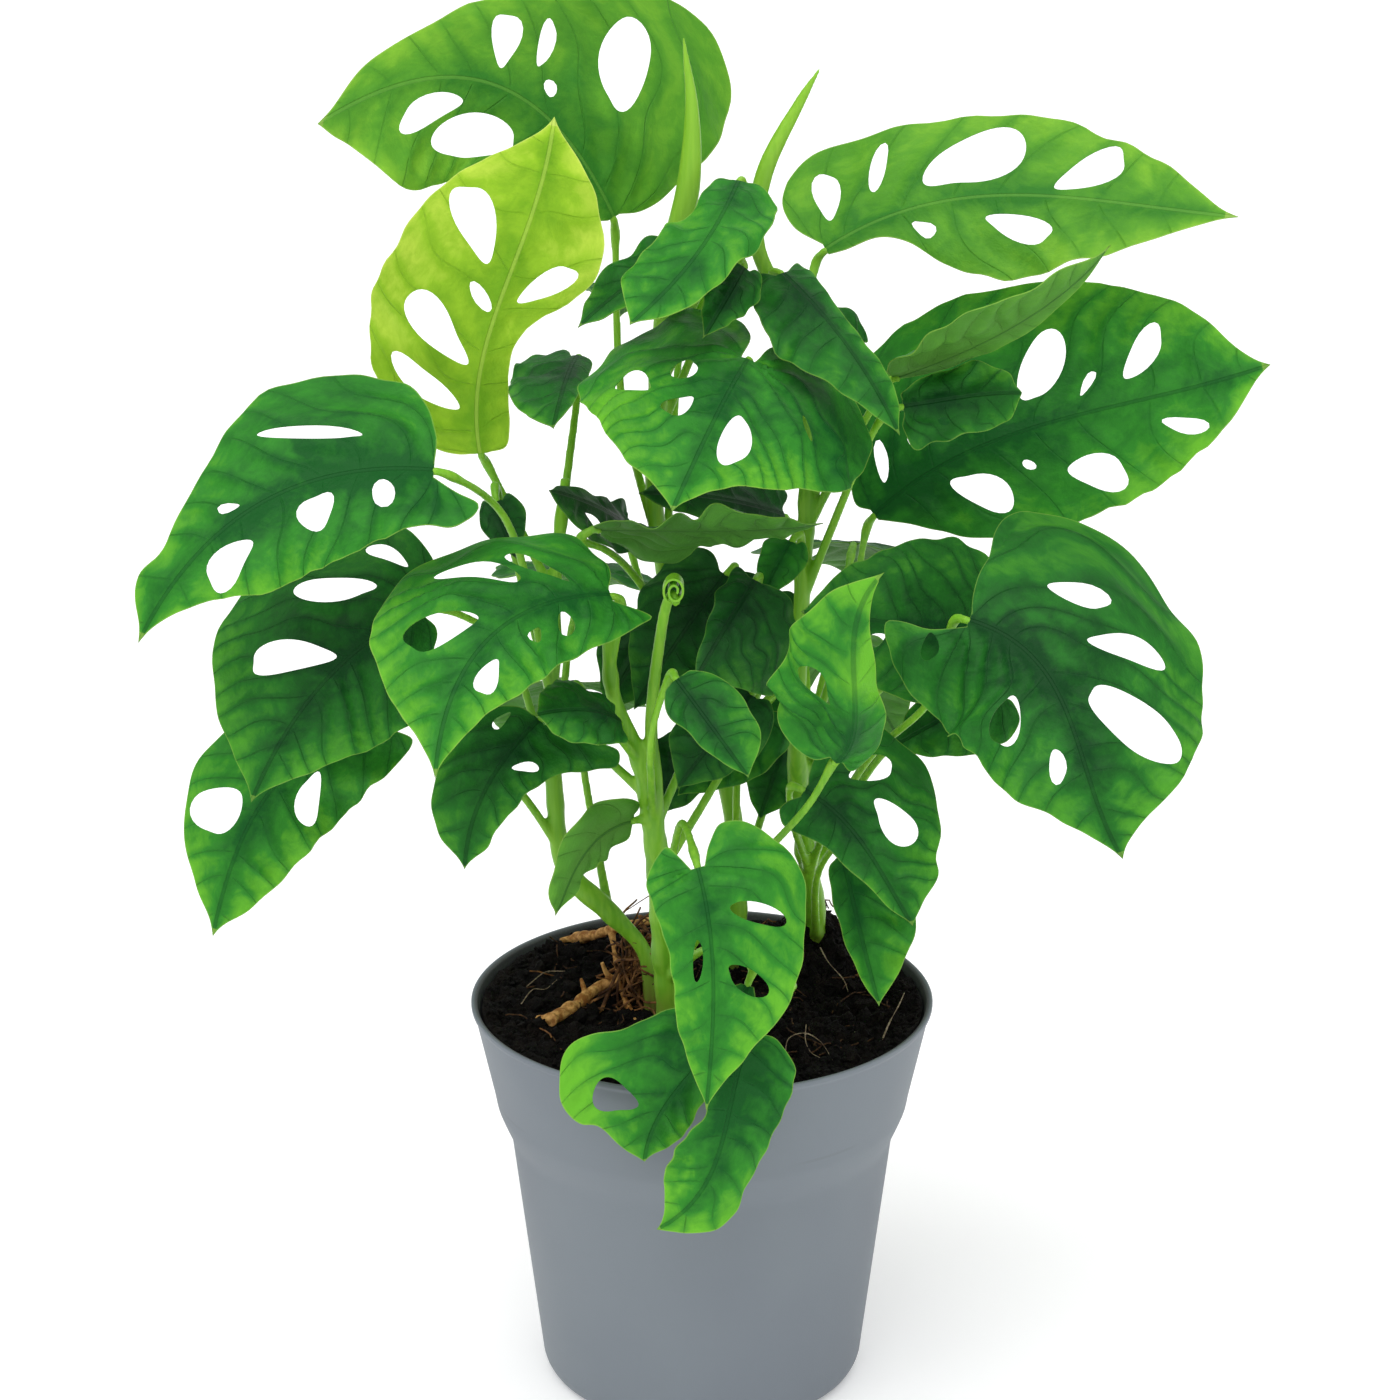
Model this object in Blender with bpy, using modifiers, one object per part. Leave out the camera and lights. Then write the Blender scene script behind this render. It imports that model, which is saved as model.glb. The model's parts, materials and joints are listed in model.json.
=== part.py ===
"""Monstera adansonii in a plastic nursery pot.

The plant is modelled as it grows: four vines stand in a soil filled pot, each vine carries its own
leaf stalks, and every holed leaf blade is a thin solid of its own that meets its stalk at the notch.
The model's origin is the centre of the pot's base, +Z is up and the front of the plant faces -Y.
All the driving sizes below are millimetres and are turned into metres where the mesh is made.
"""

import math
from dataclasses import dataclass

import bmesh
import bpy
import numpy as np
from mathutils import Matrix, Vector
from mathutils.geometry import delaunay_2d_cdt

MM = 0.001

# Pot
POT_HEIGHT = 105.0
RIM_RADIUS = 60.0
COLLAR_RADIUS = 54.2
WAIST_RADIUS = 50.0
BASE_RADIUS = 42.8
FOOT_RADIUS = 37.0
POT_WALL = 1.3
POT_STEPS = 32
DRAIN_HOLES = 6
DRAIN_RADIUS = 3.6
DRAIN_CIRCLE = 33.0

# Soil
SOIL_TOP = 102.0
SOIL_GAP = 0.35
SOIL_RINGS = (0.96, 0.78, 0.56, 0.32)
SOIL_STEPS = 24
SOIL_HEAPS = ((28.0, 26.0, 12.0, 16.0), (-26.0, 30.0, 4.0, 20.0), (8.0, -18.0, 1.5, 16.0))
STEM_HOLE_GAP = 0.4

# Leaf blades
BLADE_THICKNESS = 0.8
NOTCH_HALF_WIDTH = 1.7
CURL_REACH = 0.4
MARGIN_STEPS = 2
HOLE_STEPS = 7
STALK_RADIUS = 1.0
STALK_GAP = 0.75

# Edges steeper than this stay crisp, in degrees
SHARP_ANGLE = 40.0

GREEN_LEAF = (0.060, 0.230, 0.040, 1.0)
DARK_LEAF = (0.020, 0.110, 0.025, 1.0)
LIME_LEAF = (0.330, 0.520, 0.020, 1.0)
STEM_GREEN = (0.230, 0.430, 0.050, 1.0)
POT_GREY = (0.215, 0.240, 0.265, 1.0)
SOIL_BROWN = (0.022, 0.016, 0.012, 1.0)
ROOT_BROWN = (0.400, 0.240, 0.110, 1.0)


@dataclass(frozen=True)
class Leaf:
    """One leaf blade: where it hangs, how it bends, and its margins and holes.

    Margins are points of (along, out) and holes are (along, out, length, width, angle), in
    fractions of the straight length from base to tip. A hole's out is negative on the left half.
    """

    name: str
    base: tuple
    tip: tuple
    face: tuple
    rise: tuple = (12, 15)
    sway: tuple = (0, 0)
    twist: float = 0
    fold: tuple = (0, 0)
    curl: tuple = (-20, -20)
    wave: tuple = (0, 0, 0)
    right: tuple = None
    left: tuple = None
    holes: tuple = ()
    colour: tuple = GREEN_LEAF


# A plain heart shaped half margin, for halves that the plant hides
HALF = ((-0.09, 0.13), (-0.08, 0.27), (0.06, 0.37), (0.28, 0.38), (0.52, 0.31), (0.76, 0.17), (0.91, 0.06))
SLIM_HALF = ((-0.08, 0.11), (-0.06, 0.21), (0.10, 0.27), (0.34, 0.28), (0.60, 0.21), (0.84, 0.09))

# A broad half margin with few points, for the small leaves deep inside
INNER_HALF = ((-0.08, 0.18), (0.06, 0.37), (0.42, 0.38), (0.78, 0.18))

LEAVES = (
    Leaf("leaf_top_left", (-22, 14, 308), (-92, -14, 337), (0, -0.93, 0.35), (5, 10), (46, 48), 0,
         (0, 0), (-12, -12), (0, 0, 0),
         ((-0.03, 0.10), (0.00, 0.36), (0.05, 0.58), (0.15, 0.66), (0.27, 0.56), (0.42, 0.38), (0.66, 0.17),
          (0.83, 0.10)),
         ((0.01, 0.05), (0.09, 0.18), (0.36, 0.28), (0.62, 0.31), (0.87, 0.30), (0.97, 0.15)),
         ((0.50, 0.14, 0.17, 0.07, 83), (0.40, 0.19, 0.16, 0.04, 84), (0.34, 0.08, 0.05, 0.04, 85),
          (0.23, 0.31, 0.28, 0.11, 79), (0.71, -0.09, 0.24, 0.08, 12), (0.52, -0.16, 0.40, 0.13, 13))),
    Leaf("leaf_lime", (-55, -2, 252), (-35, -20, 340), (-0.15, -0.95, 0.25), (5, 15), (-20, 10), 0,
         (5, -15), (15, 20), (0, 0, 0),
         ((0.01, 0.07), (0.09, 0.09), (0.20, 0.08), (0.39, 0.08), (0.61, 0.21), (0.72, 0.20), (0.89, 0.10)),
         ((0.00, 0.06), (0.03, 0.14), (0.14, 0.24), (0.27, 0.31), (0.46, 0.32), (0.65, 0.28), (0.80, 0.20),
          (0.92, 0.09)),
         ((0.66, -0.13, 0.24, 0.10, 31), (0.46, -0.05, 0.10, 0.04, 52), (0.56, 0.10, 0.19, 0.06, 36),
          (0.34, -0.14, 0.23, 0.10, 53), (0.18, -0.14, 0.21, 0.07, 56)),
         LIME_LEAF),
    Leaf("leaf_left", (-64, -42, 259), (-134, -58, 221), (-0.15, -0.8, 0.6), (15, 20), (33, 29), 0,
         (0, 0), (-20, -30), (0, 0, 0),
         ((0.00, 0.10), (0.06, 0.30), (0.18, 0.37), (0.35, 0.38), (0.55, 0.22), (0.75, 0.11), (0.88, 0.11)),
         ((-0.07, 0.06), (-0.14, 0.09), (-0.09, 0.16), (0.02, 0.17), (0.26, 0.24), (0.63, 0.24),
          (0.88, 0.06)),
         ((0.29, 0.16, 0.26, 0.05, 25), (0.57, 0.05, 0.07, 0.03, 27), (0.34, -0.09, 0.13, 0.10, 39),
          (0.13, -0.07, 0.08, 0.07, 77), (0.67, -0.09, 0.20, 0.10, 4))),
    Leaf("leaf_top_right", (31, 22, 298), (131, 0, 311), (0, -0.75, 0.65), (8, 12), (-29, -4), 0,
         (0, 0), (-12, -20), (0, 0, 0),
         ((0.04, 0.03), (0.12, 0.04), (0.19, 0.08), (0.28, 0.16), (0.46, 0.21), (0.66, 0.16), (0.87, 0.05)),
         ((-0.04, 0.11), (-0.03, 0.21), (0.04, 0.27), (0.18, 0.24), (0.42, 0.23), (0.53, 0.22), (0.73, 0.15),
          (0.91, 0.06)),
         ((0.05, -0.14, 0.15, 0.05, 81), (0.16, -0.14, 0.12, 0.04, 68), (0.37, -0.11, 0.23, 0.14, 28),
          (0.64, -0.08, 0.19, 0.08, 34), (0.49, 0.08, 0.19, 0.06, 14), (0.24, 0.06, 0.07, 0.04, 45))),
    Leaf("leaf_right", (44, 18, 230), (141, 4, 273), (0, -0.85, 0.5), (8, 10), (-21, 1), 0,
         (0, 0), (-15, -20), (0, 0, 0),
         ((0.04, 0.06), (0.16, 0.17), (0.35, 0.24), (0.52, 0.24), (0.70, 0.20), (0.88, 0.10)),
         ((-0.02, 0.05), (0.01, 0.11), (0.09, 0.26), (0.19, 0.35), (0.39, 0.36), (0.65, 0.30), (0.84, 0.20),
          (0.95, 0.07)),
         ((0.48, -0.14, 0.18, 0.10, 63), (0.72, -0.11, 0.15, 0.06, 44), (0.58, -0.07, 0.07, 0.02, 48),
          (0.56, 0.14, 0.15, 0.08, 19), (0.27, 0.10, 0.17, 0.08, 43), (0.40, 0.08, 0.04, 0.02, 44),
          (0.78, 0.08, 0.10, 0.04, 21), (0.17, -0.10, 0.05, 0.04, 47), (0.08, -0.09, 0.10, 0.03, 68))),
    Leaf("leaf_right_turned", (47, -8, 273), (98, -22, 309), (-0.2, 0.55, 0.8), (-12, -20), (0, 0), 0,
         (0, 0), (-30, -10), (0, 0, 0),
         ((0.02, 0.10), (0.10, 0.20), (0.27, 0.30), (0.51, 0.37), (0.76, 0.22), (0.90, 0.09)),
         ((0.04, 0.05), (0.20, 0.09), (0.45, 0.10), (0.75, 0.06)),
         (), DARK_LEAF),
    Leaf("leaf_right_small", (49, -17, 268), (78, -12, 270), (0, -0.8, 0.5), (5, 25), (0, 0), 0,
         (0, 0), (-20, -20), (0, 0, 0),
         ((-0.03, 0.18), (0.04, 0.34), (0.29, 0.33), (0.60, 0.30), (0.85, 0.24), (0.96, 0.12)),
         ((0.00, 0.12), (0.23, 0.24), (0.59, 0.29), (0.79, 0.27), (0.95, 0.14)),
         ((0.31, 0.17, 0.10, 0.07, 35),), DARK_LEAF),
    Leaf("leaf_middle", (11, -26, 282), (-7, -70, 257), (0.1, -0.7, 0.7), (22, 22), (0, 0), 0,
         (0, 0), (-28, -28), (0, 0, 0),
         ((-0.28, 0.06), (-0.44, 0.22), (-0.42, 0.44), (-0.22, 0.64), (0.06, 0.75), (0.32, 0.75),
          (0.52, 0.61), (0.80, 0.34), (0.91, 0.16)),
         ((-0.26, 0.08), (-0.39, 0.32), (-0.34, 0.60), (-0.18, 0.73), (0.12, 0.75), (0.38, 0.66),
          (0.67, 0.38), (0.79, 0.18), (0.89, 0.08)),
         ((0.35, 0.43, 0.20, 0.14, 118), (0.20, 0.24, 0.16, 0.12, 5), (0.47, 0.18, 0.17, 0.11, 25),
          (0.55, -0.12, 0.31, 0.13, 6), (0.22, -0.38, 0.14, 0.05, 34))),
    Leaf("leaf_crown", (9, 0, 320), (-17, -40, 294), (-0.2, -0.8, 0.55), (15, 20), (-15, -24), 0,
         (0, 0), (-20, -20), (1.5, 1.7, 0.15),
         ((0.01, 0.09), (0.25, 0.15), (0.56, 0.22), (0.80, 0.23), (0.94, 0.15)),
         ((0.00, 0.08), (0.09, 0.20), (0.34, 0.22), (0.51, 0.18), (0.70, 0.15), (0.89, 0.08)),
         (), DARK_LEAF),
    Leaf("leaf_crown_right", (19.5, -4, 298), (47, -40, 267), (0.2, -0.6, 0.75), (15, 20), (0, 0), 0,
         (0, 0), (-35, -30), (1.2, 1.5, 0.6),
         ((-0.08, 0.10), (0.12, 0.22), (0.42, 0.28), (0.61, 0.20), (0.76, 0.12), (0.92, 0.05)),
         ((-0.06, 0.13), (0.09, 0.12), (0.31, 0.10), (0.59, 0.09), (0.73, 0.10), (0.88, 0.07)),
         (), DARK_LEAF),
    Leaf("leaf_middle_behind", (0, 1, 305), (-30, -15, 287), (-0.1, -0.6, 0.8), (10, 15), (0, 0), 0,
         (0, 0), (-12, -20), (0, 0, 0),
         ((0.02, 0.08), (0.20, 0.22), (0.45, 0.26), (0.70, 0.20), (0.88, 0.10)),
         ((0.04, 0.06), (0.25, 0.13), (0.50, 0.15), (0.80, 0.09)), (), DARK_LEAF),
    Leaf("leaf_crown_low", (10, -10, 301), (0, -29, 288), (0.15, -0.9, 0.4), (15, 20), (0, 0), 0,
         (0, 0), (-30, -30), (0, 0, 0), SLIM_HALF, SLIM_HALF, (), DARK_LEAF),
    Leaf("leaf_right_shade", (40, 4, 277), (24, -12, 290), (0.2, -0.8, 0.55), (12, 15), (0, 0), 0,
         (0, 0), (-20, -20), (0, 0, 0), SLIM_HALF, HALF, (), DARK_LEAF),
    Leaf("leaf_upper_left_small", (-31, 12, 273), (-36, -24, 264), (-0.1, -0.8, 0.6), (15, 15), (0, 0), 0,
         (0, 0), (-20, -20), (0, 0, 0),
         ((-0.12, 0.09), (-0.20, 0.24), (-0.08, 0.38), (0.40, 0.41), (0.77, 0.28), (0.92, 0.13)),
         ((0.03, 0.09), (0.20, 0.13), (0.54, 0.12), (0.81, 0.06)),
         (), DARK_LEAF),
    Leaf("leaf_inner_left", (-17, 23, 223), (-38, -15, 246), (-0.1, -0.75, 0.6), (10, 10), (0, 0), 0,
         (0, 0), (-15, -15), (0, 0, 0),
         ((-0.06, 0.16), (0.15, 0.16), (0.47, 0.09), (0.74, 0.08), (0.90, 0.05)),
         ((0.06, 0.14), (0.30, 0.20), (0.60, 0.23), (0.84, 0.18), (0.96, 0.08)),
         ((0.60, -0.10, 0.21, 0.07, 160),), DARK_LEAF),
    Leaf("leaf_inner_high", (21, 24, 228), (-16, -4, 242), (0, -0.7, 0.7), (10, 15), (0, 0), 0,
         (0, 0), (-15, -15), (0, 0, 0),
         ((-0.06, 0.15), (0.03, 0.26), (0.32, 0.25), (0.66, 0.16), (0.87, 0.08)),
         ((0.04, 0.09), (0.30, 0.12), (0.70, 0.11), (0.90, 0.07)),
         (), DARK_LEAF),
    Leaf("leaf_inner_flat", (-26, -20, 238), (29, -44, 246), (-0.05, 0.5, 0.85), (-2, -5), (0, 0), 0,
         (0, 0), (-10, 5), (-2, 2, 0.1),
         ((0.04, 0.08), (0.20, 0.13), (0.44, 0.20), (0.68, 0.32), (0.80, 0.26), (0.91, 0.12)),
         ((-0.05, 0.20), (0.05, 0.38), (0.23, 0.40), (0.47, 0.22), (0.66, 0.18), (0.87, 0.07)),
         (), DARK_LEAF),
    Leaf("leaf_front_left", (-22, -46, 229), (-62, -92, 199), (-0.05, -0.75, 0.65), (22, 18), (36, 35), 0,
         (0, 0), (-25, -35), (0, 0, 0),
         ((-0.04, 0.12), (0.00, 0.33), (0.15, 0.42), (0.28, 0.50), (0.41, 0.55), (0.56, 0.45), (0.69, 0.32),
          (0.79, 0.20), (0.89, 0.08)),
         ((-0.08, 0.06), (-0.14, 0.09), (-0.06, 0.13), (0.05, 0.19), (0.22, 0.22), (0.48, 0.23),
          (0.69, 0.17), (0.84, 0.09)),
         ((0.53, 0.17, 0.25, 0.12, 42), (0.61, -0.08, 0.17, 0.07, 4), (0.33, -0.09, 0.07, 0.05, 34),
          (0.19, -0.09, 0.09, 0.07, 68), (0.29, 0.28, 0.32, 0.07, 65), (0.16, 0.19, 0.22, 0.05, 65))),
    Leaf("leaf_left_second", (-69, -24, 218), (-110, -46, 176), (-0.1, -0.85, 0.5), (12, 15), (21, 16), 0,
         (0, 0), (-15, -25), (0, 0, 0),
         ((-0.06, 0.07), (-0.14, 0.17), (-0.08, 0.40), (0.12, 0.55), (0.32, 0.62), (0.57, 0.52),
          (0.74, 0.34), (0.87, 0.16)),
         ((-0.02, 0.09), (0.06, 0.20), (0.19, 0.33), (0.50, 0.33), (0.72, 0.22), (0.89, 0.08)),
         ((0.20, 0.28, 0.29, 0.10, 48), (0.47, 0.18, 0.36, 0.12, 51), (0.00, 0.28, 0.18, 0.06, 66))),
    Leaf("leaf_left_low", (-78, -8, 183), (-124, -20, 130), (-0.1, -0.9, 0.4), (12, 15), (40, 25), 0,
         (0, 0), (-20, -25), (0, 0, 0),
         ((0.01, 0.08), (0.14, 0.16), (0.31, 0.25), (0.46, 0.28), (0.61, 0.26), (0.74, 0.21), (0.88, 0.09)),
         ((-0.06, 0.07), (0.03, 0.16), (0.16, 0.22), (0.38, 0.25), (0.67, 0.21), (0.84, 0.14)),
         ((0.61, 0.13, 0.19, 0.15, 36), (0.39, -0.12, 0.22, 0.09, 30))),
    Leaf("leaf_front_left_low", (-40, -34, 193), (-58, -50, 160), (-0.1, -0.9, 0.45), (15, 15), (17, 22), 0,
         (0, 0), (-20, -25), (0, 0, 0),
         ((0.02, 0.16), (0.20, 0.36), (0.43, 0.37), (0.61, 0.33), (0.79, 0.23), (0.91, 0.10)),
         ((-0.09, 0.13), (-0.17, 0.34), (-0.22, 0.47), (-0.15, 0.53), (0.04, 0.40), (0.26, 0.27),
          (0.53, 0.20), (0.86, 0.12)),
         ((0.14, 0.17, 0.12, 0.07, 7), (0.27, -0.13, 0.15, 0.07, 129))),
    Leaf("leaf_front_folded", (32, -64, 193), (42, -84, 247), (-0.35, -0.9, 0.15), (10, 15), (27, -27), 0,
         (0, -50), (-15, -35), (0, 0, 0),
         ((-0.08, 0.12), (0.09, 0.15), (0.24, 0.14), (0.44, 0.11), (0.62, 0.08), (0.80, 0.05)),
         ((-0.10, 0.07), (-0.12, 0.16), (-0.06, 0.31), (0.20, 0.40), (0.41, 0.38), (0.60, 0.30),
          (0.74, 0.19), (0.88, 0.08)),
         ((0.40, -0.18, 0.20, 0.13, 38),)),
    Leaf("leaf_front_right", (64, -50, 224), (99, -84, 176), (0.05, -0.85, 0.5), (15, 20), (-38, 3), 0,
         (0, 0), (-28, -32), (0, 0, 0),
         ((-0.12, 0.07), (-0.28, 0.09), (-0.23, 0.19), (-0.10, 0.32), (0.13, 0.40), (0.35, 0.38),
          (0.56, 0.34), (0.71, 0.26), (0.80, 0.15), (0.90, 0.06)),
         ((-0.02, 0.09), (-0.03, 0.26), (-0.06, 0.44), (0.00, 0.57), (0.13, 0.66), (0.25, 0.65),
          (0.39, 0.62), (0.49, 0.57), (0.67, 0.45), (0.85, 0.28), (0.93, 0.14)),
         ((0.18, -0.31, 0.16, 0.08, 43), (0.35, -0.32, 0.25, 0.08, 63), (0.57, -0.22, 0.40, 0.16, 42),
          (0.41, 0.20, 0.23, 0.10, 30), (0.64, 0.09, 0.12, 0.06, 9), (-0.10, 0.13, 0.10, 0.06, 74))),
    Leaf("leaf_right_behind", (70, -22, 210), (24, -34, 221), (0, -0.9, 0.45), (10, 15), (0, 0), 0,
         (0, 0), (-20, -20), (0, 0, 0),
         ((-0.10, 0.16), (-0.10, 0.38), (0.12, 0.51), (0.36, 0.48), (0.53, 0.41), (0.68, 0.33), (0.90, 0.15)),
         ((-0.10, 0.16), (0.06, 0.34), (0.25, 0.38), (0.66, 0.30), (0.89, 0.13)),
         ((0.60, -0.09, 0.10, 0.06, 30),), DARK_LEAF),
    Leaf("leaf_right_under", (74, -4, 190), (46, -15, 178), (0, -0.85, 0.5), (10, 15), (0, 0), 0,
         (0, 0), (-20, -20), (0, 0, 0), SLIM_HALF, HALF, (), DARK_LEAF),
    Leaf("leaf_right_low", (25, -46, 179), (51, -62, 150), (0.2, -0.9, 0.35), (15, 15), (-20, -4), 0,
         (0, 0), (-20, -25), (0, 0, 0),
         ((-0.08, 0.14), (-0.02, 0.24), (0.25, 0.21), (0.51, 0.14), (0.78, 0.09)),
         ((-0.05, 0.14), (-0.03, 0.38), (0.10, 0.62), (0.31, 0.64), (0.55, 0.50), (0.81, 0.29), (0.95, 0.12)),
         ((0.18, -0.36, 0.28, 0.12, 73), (0.46, -0.24, 0.29, 0.19, 12))),
    Leaf("leaf_right_lowest", (35, -34, 157), (44, -46, 122), (-0.1, -0.9, 0.35), (10, 15), (0, 0), 0,
         (0, 0), (-20, -20), (0, 0, 0),
         ((0.04, 0.10), (0.30, 0.12), (0.60, 0.10), (0.84, 0.06)),
         ((-0.04, 0.15), (0.12, 0.30), (0.34, 0.37), (0.58, 0.35), (0.80, 0.20), (0.92, 0.09)),
         ()),
    Leaf("leaf_front_heart", (-1, -72, 169), (1, -88, 113), (0, -0.95, 0.3), (18, 12), (-14, -7), 0,
         (8, 8), (-22, -25), (0, 0, 0),
         ((-0.06, 0.06), (-0.12, 0.10), (-0.08, 0.17), (0.02, 0.22), (0.21, 0.20), (0.42, 0.17),
          (0.63, 0.15), (0.85, 0.07)),
         ((-0.08, 0.07), (-0.15, 0.14), (-0.13, 0.24), (-0.03, 0.34), (0.07, 0.41), (0.21, 0.42),
          (0.39, 0.37), (0.58, 0.29), (0.70, 0.20), (0.85, 0.08)),
         ((0.37, 0.06, 0.18, 0.04, 7), (0.21, -0.20, 0.22, 0.08, 68), (0.46, -0.14, 0.19, 0.09, 61))),
    Leaf("leaf_over_rim", (11, -66, 136), (-14, -68, 90), (-0.1, -0.97, 0.2), (8, 5), (-14, 23), 0,
         (0, 0), (-8, -10), (0, 0, 0),
         ((0.04, 0.08), (0.18, 0.16), (0.31, 0.26), (0.55, 0.38), (0.72, 0.54), (0.82, 0.50), (0.92, 0.42),
          (0.92, 0.28), (0.97, 0.15)),
         ((0.10, 0.08), (0.43, 0.11), (0.56, 0.13), (0.76, 0.15), (0.92, 0.09)),
         ((0.79, 0.23, 0.21, 0.13, 81),)),
    Leaf("leaf_over_rim_front", (12, -75, 128), (-11, -81, 78), (0.05, -0.95, 0.25), (10, 10), (0, -35), 0,
         (0, 0), (-12, -12), (0, 0, 0),
         ((0.05, 0.07), (0.25, 0.10), (0.43, 0.11), (0.62, 0.19), (0.80, 0.16), (0.94, 0.06)),
         ((-0.01, 0.11), (0.06, 0.21), (0.23, 0.26), (0.42, 0.21), (0.63, 0.18), (0.77, 0.18),
          (0.88, 0.14), (0.96, 0.07)),
         ()),
    Leaf("leaf_front_shiny", (-6, -56, 211), (11, -72, 192), (-0.1, -0.85, 0.5), (15, 15), (0, 0), 0,
         (10, 10), (-30, -30), (0, 0, 0),
         ((0.03, 0.13), (0.16, 0.20), (0.38, 0.20), (0.62, 0.15), (0.86, 0.07)),
         ((0.00, 0.14), (0.20, 0.28), (0.50, 0.34), (0.80, 0.27), (0.95, 0.12)),
         ()),
    Leaf("leaf_front_under", (12, -32, 199), (-6, -42, 178), (0, -0.85, 0.5), (15, 15), (0, 0), 0,
         (0, 0), (-25, -25), (0, 0, 0),
         ((-0.04, 0.14), (0.08, 0.27), (0.35, 0.37), (0.62, 0.36), (0.85, 0.18)),
         ((-0.06, 0.14), (0.04, 0.30), (0.30, 0.36), (0.62, 0.28), (0.86, 0.12)),
         (), DARK_LEAF),
    Leaf("leaf_low_back", (-17, -32, 166), (-36, -44, 145), (-0.2, 0.8, 0.4), (-15, -25), (-52, -46), 0,
         (0, 0), (30, 30), (0, 0, 0),
         ((0.04, 0.16), (0.30, 0.24), (0.60, 0.20), (0.84, 0.10)),
         ((-0.04, 0.12), (0.12, 0.22), (0.40, 0.26), (0.70, 0.20), (0.90, 0.10)),
         ()),
    Leaf("leaf_inner_right", (13, -28, 227), (-2, -50, 208), (0, -0.85, 0.5), (15, 20), (0, 0), 0,
         (0, 0), (-30, -30), (0, 0, 0),
         ((-0.06, 0.16), (0.10, 0.20), (0.34, 0.18), (0.69, 0.11), (0.86, 0.06)),
         ((-0.08, 0.22), (0.12, 0.50), (0.46, 0.66), (0.74, 0.58), (0.88, 0.28)),
         (), DARK_LEAF),
    Leaf("leaf_inner_curled", (-20, -44, 196), (-40, -62, 204), (0, -0.7, 0.7), (25, 30), (0, 0), 0,
         (0, 0), (-40, -40), (0, 0, 0),
         ((-0.06, 0.24), (0.20, 0.42), (0.51, 0.46), (0.86, 0.24)),
         ((-0.02, 0.18), (0.23, 0.27), (0.61, 0.30), (0.82, 0.22), (0.94, 0.11)),
         (), DARK_LEAF),
    Leaf("leaf_inner_deep", (6, 2, 219), (-17, -12, 188), (-0.1, -0.85, 0.5), (12, 18), (0, 0), 0,
         (0, 0), (-25, -25), (0, 0, 0), INNER_HALF, INNER_HALF, (), DARK_LEAF),
    Leaf("leaf_inner_far", (17, 15, 211), (3, 6, 185), (0, -0.85, 0.5), (12, 18), (0, 0), 0,
         (0, 0), (-20, -20), (0, 0, 0), INNER_HALF, INNER_HALF, (), DARK_LEAF),
    Leaf("leaf_inner_low", (15, -14, 190), (-6, -20, 168), (0.05, -0.85, 0.5), (12, 18), (0, 0), 0,
         (0, 0), (-20, -20), (0, 0, 0), INNER_HALF, INNER_HALF, (), DARK_LEAF),
    Leaf("leaf_inner_bright", (22, -15, 233), (15, -21, 220), (-0.2, -0.8, 0.55), (15, 25), (0, 0), 0,
         (10, 10), (-45, -45), (0, 0, 0), INNER_HALF, INNER_HALF, ()),
    Leaf("leaf_inner_side", (-51, -7, 241), (-46, -9, 227), (-0.3, -0.85, 0.4), (12, 18), (0, 0), 0,
         (0, 0), (-20, -20), (0, 0, 0), INNER_HALF, INNER_HALF, (), DARK_LEAF),
    Leaf("leaf_right_inner", (24, 20, 176), (15, 16, 148), (0, -0.9, 0.4), (12, 18), (0, 0), 0,
         (0, 0), (-20, -20), (0, 0, 0), INNER_HALF, INNER_HALF, (), DARK_LEAF),
    Leaf("leaf_back_left", (-30, 50, 205), (-36, 114, 178), (0.1, 0.7, 0.75), (15, 20), (10, 5), 0,
         (0, 0), (-22, -22), (0, 0, 0), HALF, HALF,
         ((0.18, 0.20, 0.22, 0.07, 62), (0.42, 0.18, 0.24, 0.08, 48), (0.30, -0.19, 0.24, 0.07, 58))),
    Leaf("leaf_back_right", (40, 52, 212), (58, 114, 174), (0.2, 0.75, 0.7), (15, 20), (-8, 6), 0,
         (0, 0), (-20, -24), (0, 0, 0), HALF, HALF,
         ((0.14, 0.20, 0.20, 0.06, 64), (0.38, 0.19, 0.26, 0.08, 50), (0.30, -0.19, 0.26, 0.08, 54))),
    Leaf("leaf_back_high", (-4, 46, 286), (-22, 96, 262), (-0.1, 0.5, 0.85), (18, 20), (6, -8), 0,
         (0, 0), (-24, -20), (0, 0, 0), HALF, HALF,
         ((0.16, 0.19, 0.20, 0.07, 64), (0.42, 0.18, 0.22, 0.07, 48), (0.24, -0.19, 0.24, 0.08, 58))),
    Leaf("leaf_back_low_left", (-34, 56, 172), (-52, 100, 134), (-0.2, 0.85, 0.4), (12, 18), (-8, 4), 0,
         (0, 0), (-20, -20), (0, 0, 0), HALF, SLIM_HALF,
         ((0.22, 0.19, 0.22, 0.07, 60), (0.48, 0.16, 0.20, 0.06, 44))),
    Leaf("leaf_back_low_right", (30, 60, 184), (56, 96, 140), (0.15, 0.85, 0.45), (14, 18), (8, -4), 0,
         (0, 0), (-22, -22), (0, 0, 0), SLIM_HALF, HALF,
         ((0.20, -0.19, 0.22, 0.07, 60), (0.46, -0.17, 0.22, 0.07, 46))),
)


def unit(vector):
    """Return the vector scaled to length one."""
    vector = np.asarray(vector, float)
    return vector / np.linalg.norm(vector)


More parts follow.
